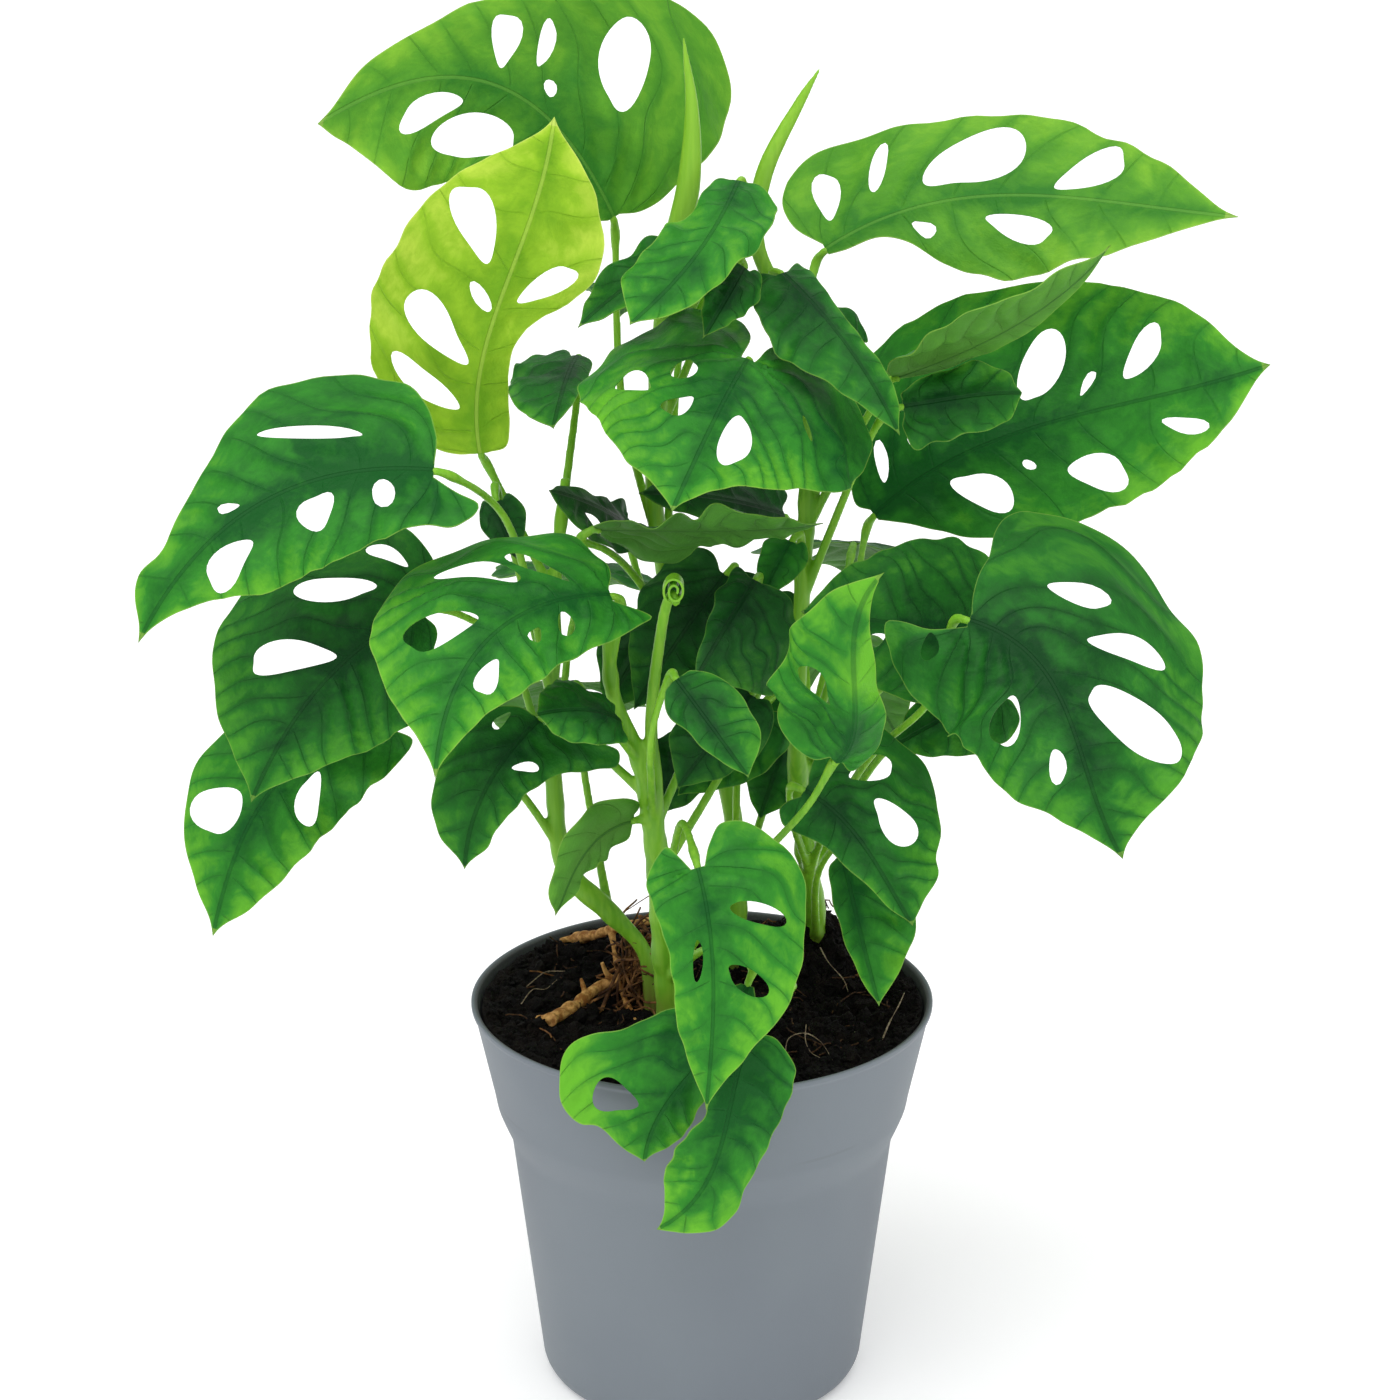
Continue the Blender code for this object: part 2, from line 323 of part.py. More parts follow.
def smooth(points, steps):
    """Run an even, unlooped curve through the points, with this many steps to each span."""
    points = np.asarray(points, float)
    ends = (2 * points[0] - points[1], 2 * points[-1] - points[-2])
    posts = np.vstack([ends[0], points, ends[1]])
    gaps = np.sqrt(np.linalg.norm(np.diff(posts[:, :3], axis=0), axis=1)) + 1e-6
    path = []
    for i in range(len(points) - 1):
        a, b, c, d = posts[i:i + 4]
        before, span, after = gaps[i:i + 3]
        leave = ((b - a) / before - (c - a) / (before + span) + (c - b) / span) * span
        arrive = ((c - b) / span - (d - b) / (span + after) + (d - c) / after) * span
        for step in range(steps):
            v = step / steps
            path.append((2 * v**3 - 3 * v**2 + 1) * b + (v**3 - 2 * v**2 + v) * leave
                        + (3 * v**2 - 2 * v**3) * c + (v**3 - v**2) * arrive)
    path.append(points[-1])
    return np.array(path)


class Blade:
    """The curved surface that a leaf's flat outline is laid on."""

    def __init__(self, leaf):
        self.leaf = leaf
        base = np.array(leaf.base, float)
        tip = np.array(leaf.tip, float)
        self.length = np.linalg.norm(tip - base)
        along = (tip - base) / self.length
        face = np.array(leaf.face, float)
        self.face = unit(face - along * (face @ along))
        side = np.cross(along, self.face)
        rise = np.tan(np.radians(leaf.rise))
        sway = np.tan(np.radians(leaf.sway))
        third = self.length / 3
        self.rib = (base, base + third * (along + self.face * rise[0] + side * sway[0]),
                    tip - third * (along - self.face * rise[1] - side * sway[1]), tip)

    def frame(self, along):
        """Return the midrib's point, direction, side and face at each station along it."""
        u = np.clip(along, 0, None)[:, None]
        a, b, c, d = self.rib
        place = a * (1 - u)**3 + 3 * b * u * (1 - u)**2 + 3 * c * u * u * (1 - u) + d * u**3
        way = 3 * (b - a) * (1 - u)**2 + 6 * (c - b) * u * (1 - u) + 3 * (d - c) * u * u
        way /= np.linalg.norm(way, axis=1, keepdims=True)
        place = place + np.minimum(along, 0)[:, None] * way * self.length
        face = self.face - way * (way @ self.face)[:, None]
        face /= np.linalg.norm(face, axis=1, keepdims=True)
        side = np.cross(way, face)
        turn = np.radians(self.leaf.twist) * np.clip(along, 0, 1)[:, None]
        return (place, way, side * np.cos(turn) + face * np.sin(turn),
                face * np.cos(turn) - side * np.sin(turn))

    def points(self, flat):
        """Lay flat (along, out) points, in fractions of the length, on the curved blade."""
        along = flat[:, 0]
        out = flat[:, 1]
        place, _, side, face = self.frame(along)
        right = out >= 0
        sign = np.where(right, 1.0, -1.0)
        fold = np.radians(np.where(right, self.leaf.fold[1], self.leaf.fold[0]))
        curl = np.radians(np.where(right, self.leaf.curl[1], self.leaf.curl[0])) / CURL_REACH
        curl = np.where(np.abs(curl) < 1e-6, 1e-6, curl)
        reach = np.abs(out)
        across = (np.sin(fold + curl * reach) - np.sin(fold)) / curl
        lift = (np.cos(fold) - np.cos(fold + curl * reach)) / curl
        height, count, phase = self.leaf.wave
        ripple = np.sin(2 * np.pi * (count * along + phase + 0.23 * sign))
        lift = lift + height / self.length * (reach / CURL_REACH)**2 * ripple
        return place + (sign * across * self.length)[:, None] * side + (lift * self.length)[:, None] * face


def hole_loop(hole, steps):
    """Return the egg shaped outline of one hole, wider towards the margin."""
    along, out, length, width, angle = hole
    sign = 1 if out >= 0 else -1
    turn = math.radians(angle)
    loop = []
    for step in range(steps):
        q = 2 * math.pi * step / steps
        x = length / 2 * math.cos(q)
        y = width / 2 * math.sin(q) * (1 + 0.25 * math.cos(q))
        loop.append((along + x * math.cos(turn) - y * math.sin(turn),
                     out + sign * (x * math.sin(turn) + y * math.cos(turn))))
    return loop


def inside(point, loop):
    """Tell whether a flat point lies inside a closed loop."""
    x, y = point
    hit = False
    for (ax, ay), (bx, by) in zip(loop, loop[1:] + loop[:1]):
        if (ay > y) != (by > y) and x < (bx - ax) * (y - ay) / (by - ay) + ax:
            hit = not hit
    return hit


def margin_loop(leaf, length):
    """Return the leaf's closed outline: up the right margin to the tip and down the left one."""
    notch = NOTCH_HALF_WIDTH / length
    right = smooth([(0, notch), *leaf.right, (1, 0)], MARGIN_STEPS)
    left = smooth([(0, notch), *leaf.left, (1, 0)], MARGIN_STEPS)
    loop = [(float(a), float(max(o, 0.002))) for a, o in right[:-1]]
    loop.append((1.0, 0.0))
    loop += [(float(a), -float(max(o, 0.002))) for a, o in left[-2::-1]]
    return loop


def leaf_sheet(leaf):
    """Triangulate the leaf's outline round its holes and bend it onto its blade surface."""
    blade = Blade(leaf)
    outline = margin_loop(leaf, blade.length)
    loops = [outline] + [hole_loop(hole, HOLE_STEPS) for hole in leaf.holes]
    flat = [Vector(point) for loop in loops for point in loop]
    edges = []
    start = 0
    for loop in loops:
        count = len(loop)
        edges += [(start + i, start + (i + 1) % count) for i in range(count)]
        start += count
    grid = [(along, 0.0) for along in np.linspace(0, 0.92, 7)]
    grid += [(along, out) for along in (0.0, 0.2, 0.42, 0.66) for out in (-0.2, 0.2)]
    for point in grid[1:]:
        clear = min((Vector(point) - other).length for other in flat)
        if clear > 0.05 and inside(point, outline) and not any(inside(point, loop) for loop in loops[1:]):
            flat.append(Vector(point))
    verts, _, faces, *_ = delaunay_2d_cdt(flat, edges, [], 0, 1e-5)
    kept = []
    for face in faces:
        centre = sum((verts[i] for i in face), Vector((0, 0))) / len(face)
        if inside(centre, outline) and not any(inside(centre, loop) for loop in loops[1:]):
            kept.append(list(face))
    placed = blade.points(np.array([tuple(v) for v in verts])) * MM
    mesh = bpy.data.meshes.new(leaf.name)
    mesh.from_pydata([tuple(p) for p in placed], [], kept)
    mesh.validate()
    return mesh


def material(name, colour, roughness, metallic=0.0):
    """Make a plain surface of one colour."""
    surface = bpy.data.materials.new(name)
    surface.use_nodes = True
    shader = surface.node_tree.nodes["Principled BSDF"]
    shader.inputs["Base Color"].default_value = colour
    shader.inputs["Roughness"].default_value = roughness
    shader.inputs["Metallic"].default_value = metallic
    surface.diffuse_color = colour
    return surface


def place(name, mesh, surface, collection):
    """Put a mesh in the plant's collection as a named object with its material."""
    piece = bpy.data.objects.new(name, mesh)
    mesh.materials.clear()
    mesh.materials.append(surface)
    mesh.shade_smooth()
    mesh.set_sharp_from_angle(angle=math.radians(SHARP_ANGLE))
    collection.objects.link(piece)
    return piece


def applied(piece):
    """Return a mesh of the object with its modifiers applied."""
    depsgraph = bpy.context.evaluated_depsgraph_get()
    return bpy.data.meshes.new_from_object(piece.evaluated_get(depsgraph))


def make_leaf(leaf, surfaces, collection):
    """Make one blade as an open sheet with its thickness added by Solidify."""
    piece = place(leaf.name, leaf_sheet(leaf), surfaces[leaf.colour], collection)
    solid = piece.modifiers.new("Thickness", "SOLIDIFY")
    solid.thickness = BLADE_THICKNESS * MM
    solid.offset = 0.0
    return piece


def make_tube(name, path, radii, sides_level, collection):
    """Make a round stalk along a path of points, capped at both ends, as a closed mesh."""
    curve = bpy.data.curves.new(name, "CURVE")
    curve.dimensions = "3D"
    curve.bevel_depth = MM
    curve.bevel_resolution = sides_level
    curve.use_fill_caps = True
    line = curve.splines.new("POLY")
    line.points.add(len(path) - 1)
    for point, where, radius in zip(line.points, path, radii):
        point.co = (*(np.asarray(where) * MM), 1.0)
        point.radius = float(radius)
    guide = bpy.data.objects.new(name, curve)
    collection.objects.link(guide)
    mesh = applied(guide)
    bpy.data.objects.remove(guide)
    shape = bmesh.new()
    shape.from_mesh(mesh)
    bmesh.ops.remove_doubles(shape, verts=shape.verts, dist=0.00001)
    shape.to_mesh(mesh)
    shape.free()
    tube = bpy.data.objects.new(name, mesh)
    collection.objects.link(tube)
    return tube


def join(name, pieces, surface, collection):
    """Fuse overlapping closed pieces into one named solid with a single Boolean union."""
    first, rest = pieces[0], pieces[1:]
    mesh = first.data
    if rest:
        others = bpy.data.collections.new(name + " parts")
        bpy.context.scene.collection.children.link(others)
        for piece in rest:
            others.objects.link(piece)
        union = first.modifiers.new("Union", "BOOLEAN")
        union.operation = "UNION"
        union.operand_type = "COLLECTION"
        union.solver = "MANIFOLD"
        union.collection = others
        mesh = applied(first)
        bpy.data.collections.remove(others)
    for piece in pieces:
        bpy.data.objects.remove(piece)
    shape = bmesh.new()
    shape.from_mesh(mesh)
    bmesh.ops.remove_doubles(shape, verts=shape.verts, dist=0.00002)
    bmesh.ops.dissolve_degenerate(shape, edges=shape.edges, dist=0.00001)
    bmesh.ops.triangulate(shape, faces=shape.faces)
    shape.to_mesh(mesh)
    shape.free()
    return place(name, mesh, surface, collection)


@dataclass(frozen=True)
class Vine:
    """One stem rooted in the soil: its path, its thickness and where each leaf stalk leaves it."""

    name: str
    path: tuple
    radii: tuple
    stalks: tuple
    extras: tuple = ()


# A stalk is (leaf name, height on the stem, points that it bends through)
VINES = (
    Vine("vine_front", ((-8, -22, 76), (-8, -22, 101), (-8, -22, 106), (-10, -26, 135), (-12, -29, 162),
                        (-15, -32.5, 181), (-21.5, -35, 199), (-23, -38, 216)),
         (3.4, 3.4, 3.4, 2.9, 2.7, 2.3, 1.9, 1.5),
         (("leaf_front_left", 205, ()),
          ("leaf_front_left_low", 172, ()),
          ("leaf_front_heart", 138, ((-5, -50, 172),)),
          ("leaf_over_rim", 118, ((2, -48, 138),)),
          ("leaf_over_rim_front", 108, ((16, -42, 120), (22, -62, 134))),
          ("leaf_front_shiny", 166, ((-12, -48, 196),)),
          ("leaf_front_under", 150, ((8, -24, 182),)),
          ("leaf_low_back", 128, ()),
          ("leaf_inner_curled", 182, ()),
          ("leaf_inner_right", 158, ((2, -26, 196),)),
          ("leaf_front_folded", 126, ((10, -50, 158), (26, -62, 182)))),
         (((-11, -30, 160), (-11.5, -33, 178), (-12.5, -34, 189), (-12, -35, 200), (-10.5, -37, 213),
           (-8.5, -40, 225), (-7, -42, 228), (-6, -44, 226)),)),
    Vine("vine_left", ((-13, -6, 78), (-13, -6, 101), (-13, -6, 106), (-15, -6, 120), (-24, -6, 131),
                       (-34.5, -5, 142), (-37.5, -4, 162), (-37, -3, 215), (-34, 0, 245)),
         (2.2, 2.2, 2.2, 2.0, 2.3, 2.7, 2.0, 1.8, 1.3),
         (("leaf_lime", 205, ()),
          ("leaf_left", 190, ((-48, -20, 240),)),
          ("leaf_left_second", 160, ((-50, -10, 205),)),
          ("leaf_left_low", 135, ((-50, -6, 168),)),
          ("leaf_upper_left_small", 235, ()),
          ("leaf_inner_side", 200, ()),
          ("leaf_back_left", 165, ((-34, 24, 196),)),
          ("leaf_back_low_left", 130, ((-32, 32, 164),)))),
    Vine("vine_right", ((30, 24, 78), (30, 24, 111), (30, 24, 117), (26, 10, 150), (24, -4, 178),
                        (25, -6, 215), (26, -2, 250), (22, 4, 283), (13.5, 8, 303), (15.2, 10, 319.5),
                        (23.7, 12, 336.7), (28.8, 12, 345.6)),
         (2.7, 2.7, 2.7, 2.5, 2.3, 2.1, 2.0, 2.0, 2.0, 2.2, 1.4, 0.4),
         (("leaf_top_right", 262, ()),
          ("leaf_right", 170, ((38, 6, 210),)),
          ("leaf_right_turned", 232, ()),
          ("leaf_right_small", 222, ()),
          ("leaf_front_right", 140, ((32, -12, 157), (42, -24, 180), (56, -42, 202))),
          ("leaf_right_behind", 160, ((50, -6, 196), (66, -12, 206))),
          ("leaf_right_under", 140, ((50, -10, 180),)),
          ("leaf_right_low", 125, ((22, -30, 168),)),
          ("leaf_right_lowest", 112, ((30, -22, 150),)),
          ("leaf_crown_right", 262, ()),
          ("leaf_right_shade", 240, ((34, 2, 262),)),
          ("leaf_inner_bright", 205, ()),
          ("leaf_back_right", 165, ((36, 30, 202),)),
          ("leaf_back_low_right", 120, ((28, 34, 170),)))),
    Vine("vine_back", ((9, 20, 78), (9, 20, 104), (9, 20, 108), (8, 20, 148), (-5, 19, 195),
                       (-12, 14, 235), (-11, 10, 265), (-7.5, 8, 299), (-3.4, 8, 317), (-2.5, 8, 336),
                       (-4.6, 8, 354)),
         (2.7, 2.7, 2.7, 2.5, 2.3, 2.2, 2.3, 2.9, 3.0, 1.8, 0.4),
         (("leaf_top_left", 215, ((-20, 16, 260),)),
          ("leaf_middle", 254, ((2, -8, 268),)),
          ("leaf_crown", 262, ((4, 10, 296),)),
          ("leaf_crown_low", 256, ((5, 12, 292), (8, 1, 303))),
          ("leaf_middle_behind", 268, ()),
          ("leaf_inner_left", 170, ((-14, 26, 204),)),
          ("leaf_inner_high", 165, ((14, 28, 205),)),
          ("leaf_inner_flat", 190, ((-18, 2, 220), (-24, -12, 230))),
          ("leaf_inner_deep", 175, ((-2, 12, 205),)),
          ("leaf_inner_far", 165, ((6, 24, 194),)),
          ("leaf_inner_low", 130, ((10, 2, 172),)),
          ("leaf_right_inner", 122, ((18, 28, 152),)),
          ("leaf_back_high", 225, ((-6, 32, 266),)))),
)


def stem_path(vine, steps=2):
    """Return the smooth centre line of a stem and its radius at each point."""
    line = smooth(np.column_stack([vine.path, vine.radii]), steps)
    return line[:, :3], line[:, 3]


def make_vine(vine, blades, surface, collection):
    """Make a stem with all its leaf stalks as one solid."""
    path, radii = stem_path(vine)
    pieces = [make_tube(vine.name, path, radii, 2, collection)]
    for leaf_name, height, bends in vine.stalks:
        blade = blades[leaf_name]
        start = path[np.argmin(np.abs(path[:, 2] - height))]
        seat, way, _, face = (part[0] for part in blade.frame(np.array([0.0])))
        aim = unit(way * 0.75 + face * 0.55)
        end = seat - way * STALK_GAP - face * 0.2
        near = end - aim * 4.0
        line = smooth([start, *bends, near, end], 3 if not bends else 2)
        width = np.linspace(1.6, STALK_RADIUS, len(line))
        pieces.append(make_tube(leaf_name + " stalk", line, width, 1, collection))
    for number, extra in enumerate(vine.extras):
        line = smooth(extra, 2)
        width = np.linspace(1.9, 0.9, len(line))
        pieces.append(make_tube(f"{vine.name} shoot {number}", line, width, 1, collection))
    return join(vine.name, pieces, surface, collection)


def pot_profile():
    """Return the pot's half section: inner floor, inner wall, rim, outer wall and underside."""
    outer = [(FOOT_RADIUS, 0), (40.6, 1.2), (42.2, 4), (BASE_RADIUS, 9), (WAIST_RADIUS, 68), (52.2, 73),
             (53.6, 76.5), (COLLAR_RADIUS, 80), (59.2, 102.8), (RIM_RADIUS, 103.8), (RIM_RADIUS, 104.8)]
    inner = [(58.0, 103.0), (COLLAR_RADIUS - POT_WALL, 80.5), (52.2 - POT_WALL, 73.5),
             (WAIST_RADIUS - POT_WALL, 68.5), (BASE_RADIUS - POT_WALL, 9.5), (40.0, 4.0), (37.5, 1.8)]
    lip = [(59.6, POT_HEIGHT), (58.4, 104.6)]
    return [(0.0, 1.6)] + inner[::-1] + lip[::-1] + outer[::-1] + [(0.0, 0.0)]


def turned(name, profile, steps, collection):
    """Turn a half section round the upright axis into a closed solid."""
    mesh = bpy.data.meshes.new(name)
    points = [(x * MM, 0.0, z * MM) for x, z in profile]
    mesh.from_pydata(points, [(i, i + 1) for i in range(len(points) - 1)], [])
    piece = bpy.data.objects.new(name, mesh)
    collection.objects.link(piece)
    screw = piece.modifiers.new("Turn", "SCREW")
    screw.steps = steps
    screw.render_steps = steps
    screw.use_merge_vertices = True
    screw.merge_threshold = 0.00001
    screw.use_normal_calculate = True
    solid = bpy.data.objects.new(name, applied(piece))
    collection.objects.link(solid)
    bpy.data.objects.remove(piece)
    shape = bmesh.new()
    shape.from_mesh(solid.data)
    bmesh.ops.remove_doubles(shape, verts=shape.verts, dist=0.00001)
    bmesh.ops.recalc_face_normals(shape, faces=shape.faces)
    shape.to_mesh(solid.data)
    shape.free()
    return solid


def cylinder(name, centre, radius, low, high, sides, collection):
    """Make an upright cylinder between two heights."""
    shape = bmesh.new()
    middle = Matrix.Translation(Vector((centre[0], centre[1], (low + high) / 2)) * MM)
    bmesh.ops.create_cone(shape, cap_ends=True, segments=sides, radius1=radius * MM, radius2=radius * MM,
                          depth=(high - low) * MM, matrix=middle)
    mesh = bpy.data.meshes.new(name)
    shape.to_mesh(mesh)
    shape.free()
    piece = bpy.data.objects.new(name, mesh)
    collection.objects.link(piece)
    return piece


def cut(name, piece, cutters, surface, collection):
    """Cut every cutter out of a solid and keep the result under the given name."""
    tools = bpy.data.collections.new(name + " cutters")
    bpy.context.scene.collection.children.link(tools)
    for cutter in cutters:
        tools.objects.link(cutter)
    trim = piece.modifiers.new("Cut", "BOOLEAN")
    trim.operation = "DIFFERENCE"
    trim.operand_type = "COLLECTION"
    trim.collection = tools
    mesh = applied(piece)
    for tool in (piece, *cutters):
        bpy.data.objects.remove(tool)
    bpy.data.collections.remove(tools)
    return place(name, mesh, surface, collection)


def make_pot(surface, collection):
    """Make the thin walled pot with its stepped collar, rolled rim and drain holes."""
    body = turned("pot body", pot_profile(), POT_STEPS, collection)
    drains = []
    for number in range(DRAIN_HOLES):
        turn = 2 * math.pi * (number + 0.5) / DRAIN_HOLES
        centre = (DRAIN_CIRCLE * math.cos(turn), DRAIN_CIRCLE * math.sin(turn))
        drains.append(cylinder(f"drain {number}", centre, DRAIN_RADIUS, -2, 4, 10, collection))
    return cut("pot", body, drains, surface, collection)


def soil_height(x, y):
    """Return the height of the loose soil surface at a point."""
    height = SOIL_TOP
    for heap_x, heap_y, rise, spread in SOIL_HEAPS:
        height += rise * math.exp(-((x - heap_x)**2 + (y - heap_y)**2) / spread**2)
    return height


def make_soil(surface, collection):
    """Make the soil that fills the pot, heaped on top and with a plain hole for each stem."""
    side = [(BASE_RADIUS - POT_WALL, 9.5), (WAIST_RADIUS - POT_WALL, 68.5), (52.2 - POT_WALL, 73.5),
            (COLLAR_RADIUS - POT_WALL, 80.5)]
    slope = (58.0 - (COLLAR_RADIUS - POT_WALL)) / (103.0 - 80.5)
    top_radius = COLLAR_RADIUS - POT_WALL + slope * (SOIL_TOP - 80.5)
    profile = [(0.0, 1.6 + SOIL_GAP), (36.5, 1.6 + SOIL_GAP), (40.0 - 2 * SOIL_GAP, 5.0)]
    profile += [(radius - SOIL_GAP, height) for radius, height in side]
    profile += [(top_radius - SOIL_GAP - 0.1, SOIL_TOP)]
    profile += [(top_radius * share, SOIL_TOP) for share in SOIL_RINGS] + [(0.0, SOIL_TOP)]
    body = turned("soil body", profile, SOIL_STEPS, collection)
    for vertex in body.data.vertices:
        if vertex.co.z > (SOIL_TOP - 0.5) * MM:
            x, y = vertex.co.x / MM, vertex.co.y / MM
            inner = 1.0 - min(1.0, math.hypot(x, y) / (top_radius - SOIL_GAP - 0.1))**3
            vertex.co.z = (SOIL_TOP + (soil_height(x, y) - SOIL_TOP) * inner) * MM
    holes = []
    for vine in VINES:
        foot, radius = vine.path[0], vine.radii[0]
        low = foot[2] - STEM_HOLE_GAP
        holes.append(cylinder(vine.name + " hole", foot, radius + STEM_HOLE_GAP, low, 125, 12, collection))
    return cut("soil", body, holes, surface, collection)


# A dry root is a list of runs, each a path of points with a width at its start and end
ROOTS = {
    "dry_root_front": (
        (((-39, -14, 104.2), (-33, -5, 104.2), (-26.4, 4, 106), (-19.3, 5, 109), (-13, 4, 117)), 2.0, 1.0),
        (((-23, 4.5, 107), (-25, 3.5, 110), (-26, 3, 113)), 1.1, 0.6),
        (((-22, 4, 107.5), (-19.5, -3, 104), (-17.5, -10, 103)), 1.0, 0.6)),
    "dry_root_left": (
        (((-33.5, 35, 106.6), (-28.5, 28, 110.5), (-20, 21, 116), (5.6, 20, 121)), 1.7, 1.1),),
}


def make_root(name, runs, surface, collection):
    """Make a dry forked root that lies on the soil."""
    pieces = []
    for number, (points, start, end) in enumerate(runs):
        line = smooth(points, 3)
        widths = np.linspace(start, end, len(line))
        pieces.append(make_tube(f"{name} run {number}", line, widths, 1, collection))
    return join(name, pieces, surface, collection)


def clear_scene():
    """Remove whatever the scene holds."""
    for piece in list(bpy.data.objects):
        bpy.data.objects.remove(piece)


def build():
    """Build the whole plant."""
    clear_scene()
    plant = bpy.data.collections.new("monstera adansonii in pot")
    bpy.context.scene.collection.children.link(plant)
    surfaces = {
        GREEN_LEAF: material("leaf green", GREEN_LEAF, 0.38),
        DARK_LEAF: material("leaf dark green", DARK_LEAF, 0.42),
        LIME_LEAF: material("leaf lime", LIME_LEAF, 0.36),
    }
    make_pot(material("pot plastic", POT_GREY, 0.55), plant)
    make_soil(material("soil", SOIL_BROWN, 0.95), plant)
    blades = {}
    for leaf in LEAVES:
        blades[leaf.name] = Blade(leaf)
        make_leaf(leaf, surfaces, plant)
    stem_surface = material("stem green", STEM_GREEN, 0.42)
    for vine in VINES:
        make_vine(vine, blades, stem_surface, plant)
    root_surface = material("dry root", ROOT_BROWN, 0.85)
    for name, runs in ROOTS.items():
        make_root(name, runs, root_surface, plant)


build()
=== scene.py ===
"""Looks of the monstera adansonii in its nursery pot.

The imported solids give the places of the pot, the soil, the stems and every leaf blade. This script
dresses them: each blade becomes a fine sheet with quilted veins and a pale margin, the stems become
smooth shoots with sheathed leaf stalks, and the soil gets its crumbs, flecks and fine roots.
Plans are in millimetres, and meshes are in metres. The plant's front faces -Y and +Z is up.
"""

import json
import logging
import math
from dataclasses import dataclass
from enum import Enum
from typing import Iterable, Sequence

import bmesh
import bpy
import numpy as np
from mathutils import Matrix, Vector
from mathutils.geometry import delaunay_2d_cdt

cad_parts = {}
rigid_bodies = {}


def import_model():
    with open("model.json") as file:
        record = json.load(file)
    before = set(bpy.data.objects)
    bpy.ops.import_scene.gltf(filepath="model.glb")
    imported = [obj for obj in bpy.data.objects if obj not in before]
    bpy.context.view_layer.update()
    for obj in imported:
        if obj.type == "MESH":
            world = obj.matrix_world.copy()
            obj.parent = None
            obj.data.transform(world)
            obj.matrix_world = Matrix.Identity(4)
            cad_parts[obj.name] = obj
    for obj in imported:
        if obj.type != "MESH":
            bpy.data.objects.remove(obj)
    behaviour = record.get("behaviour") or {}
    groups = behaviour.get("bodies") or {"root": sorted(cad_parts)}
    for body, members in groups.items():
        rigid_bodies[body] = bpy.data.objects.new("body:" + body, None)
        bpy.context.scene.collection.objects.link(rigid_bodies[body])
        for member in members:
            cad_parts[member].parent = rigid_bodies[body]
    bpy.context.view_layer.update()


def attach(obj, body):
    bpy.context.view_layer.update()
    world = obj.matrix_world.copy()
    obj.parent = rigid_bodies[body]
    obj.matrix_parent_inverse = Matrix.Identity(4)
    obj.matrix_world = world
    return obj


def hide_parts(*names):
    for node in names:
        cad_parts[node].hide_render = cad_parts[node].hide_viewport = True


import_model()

LOG = logging.getLogger("plant")
MM = 0.001
TAU = 2.0 * math.pi

# The leaf plan's shared measures, as the solids have them
NOTCH_HALF_WIDTH = 1.7
CURL_REACH = 0.4

# Where the mix meets the stems
SOIL_HEIGHT = 102.0

Point = tuple[float, float, float]
Pair = tuple[float, float]
Colour = tuple[float, float, float]


def linear(colour: Colour) -> tuple[float, float, float, float]:
    """Turn a screen colour into the scene's linear one.

    Args:
        colour: Red, green and blue from 0 to 255.

    Returns:
        Linear red, green, blue and full alpha.
    """
    shares = [value / 255.0 for value in colour]
    parts = [c / 12.92 if c <= 0.04045 else ((c + 0.055) / 1.055) ** 2.4 for c in shares]
    return parts[0], parts[1], parts[2], 1.0


class Wire:
    """One output of a node, with the arithmetic of node maths."""

    def __init__(self, graph: "Graph", socket: bpy.types.NodeSocket) -> None:
        """Keep the output and the graph that it belongs to."""
        self.graph = graph
        self.socket = socket

    def out(self, name: str) -> "Wire":
        """Return another output of the same node."""
        return Wire(self.graph, self.socket.node.outputs[name])

    def _math(self, operation: str, *terms: "Wire | float") -> "Wire":
        """Add a Math node that works on the terms in turn."""
        return self.graph.node("ShaderNodeMath", dict(enumerate(terms)), operation=operation)

    def __add__(self, other: "Wire | float") -> "Wire":
        """Add."""
        return self._math("ADD", self, other)

    __radd__ = __add__

    def __sub__(self, other: "Wire | float") -> "Wire":
        """Subtract."""
        return self._math("SUBTRACT", self, other)

    def __rsub__(self, other: float) -> "Wire":
        """Subtract this from a number."""
        return self._math("SUBTRACT", other, self)

    def __mul__(self, other: "Wire | float") -> "Wire":
        """Multiply."""
        return self._math("MULTIPLY", self, other)

    __rmul__ = __mul__

    def __abs__(self) -> "Wire":
        """Take the size without the sign."""
        return self._math("ABSOLUTE", self)

    def fraction(self) -> "Wire":
        """Return what is left past the whole number below."""
        return self._math("FRACT", self)

    def clamped(self) -> "Wire":
        """Keep the value between 0 and 1.

        Returns:
            The held value.
        """
        held = self + 0.0
        held.socket.node.use_clamp = True
        return held

    def step(self, low: float, high: float) -> "Wire":
        """Rise smoothly from 0 at low to 1 at high, or fall where low is the larger.

        Args:
            low: The value that gives 0.
            high: The value that gives 1.

        Returns:
            The eased share.
        """
        ends = (low, high, 0.0, 1.0) if low < high else (high, low, 1.0, 0.0)
        values = dict(zip(("Value", "From Min", "From Max", "To Min", "To Max"), (self, *ends)))
        return self.graph.node("ShaderNodeMapRange", values, interpolation_type="SMOOTHSTEP")


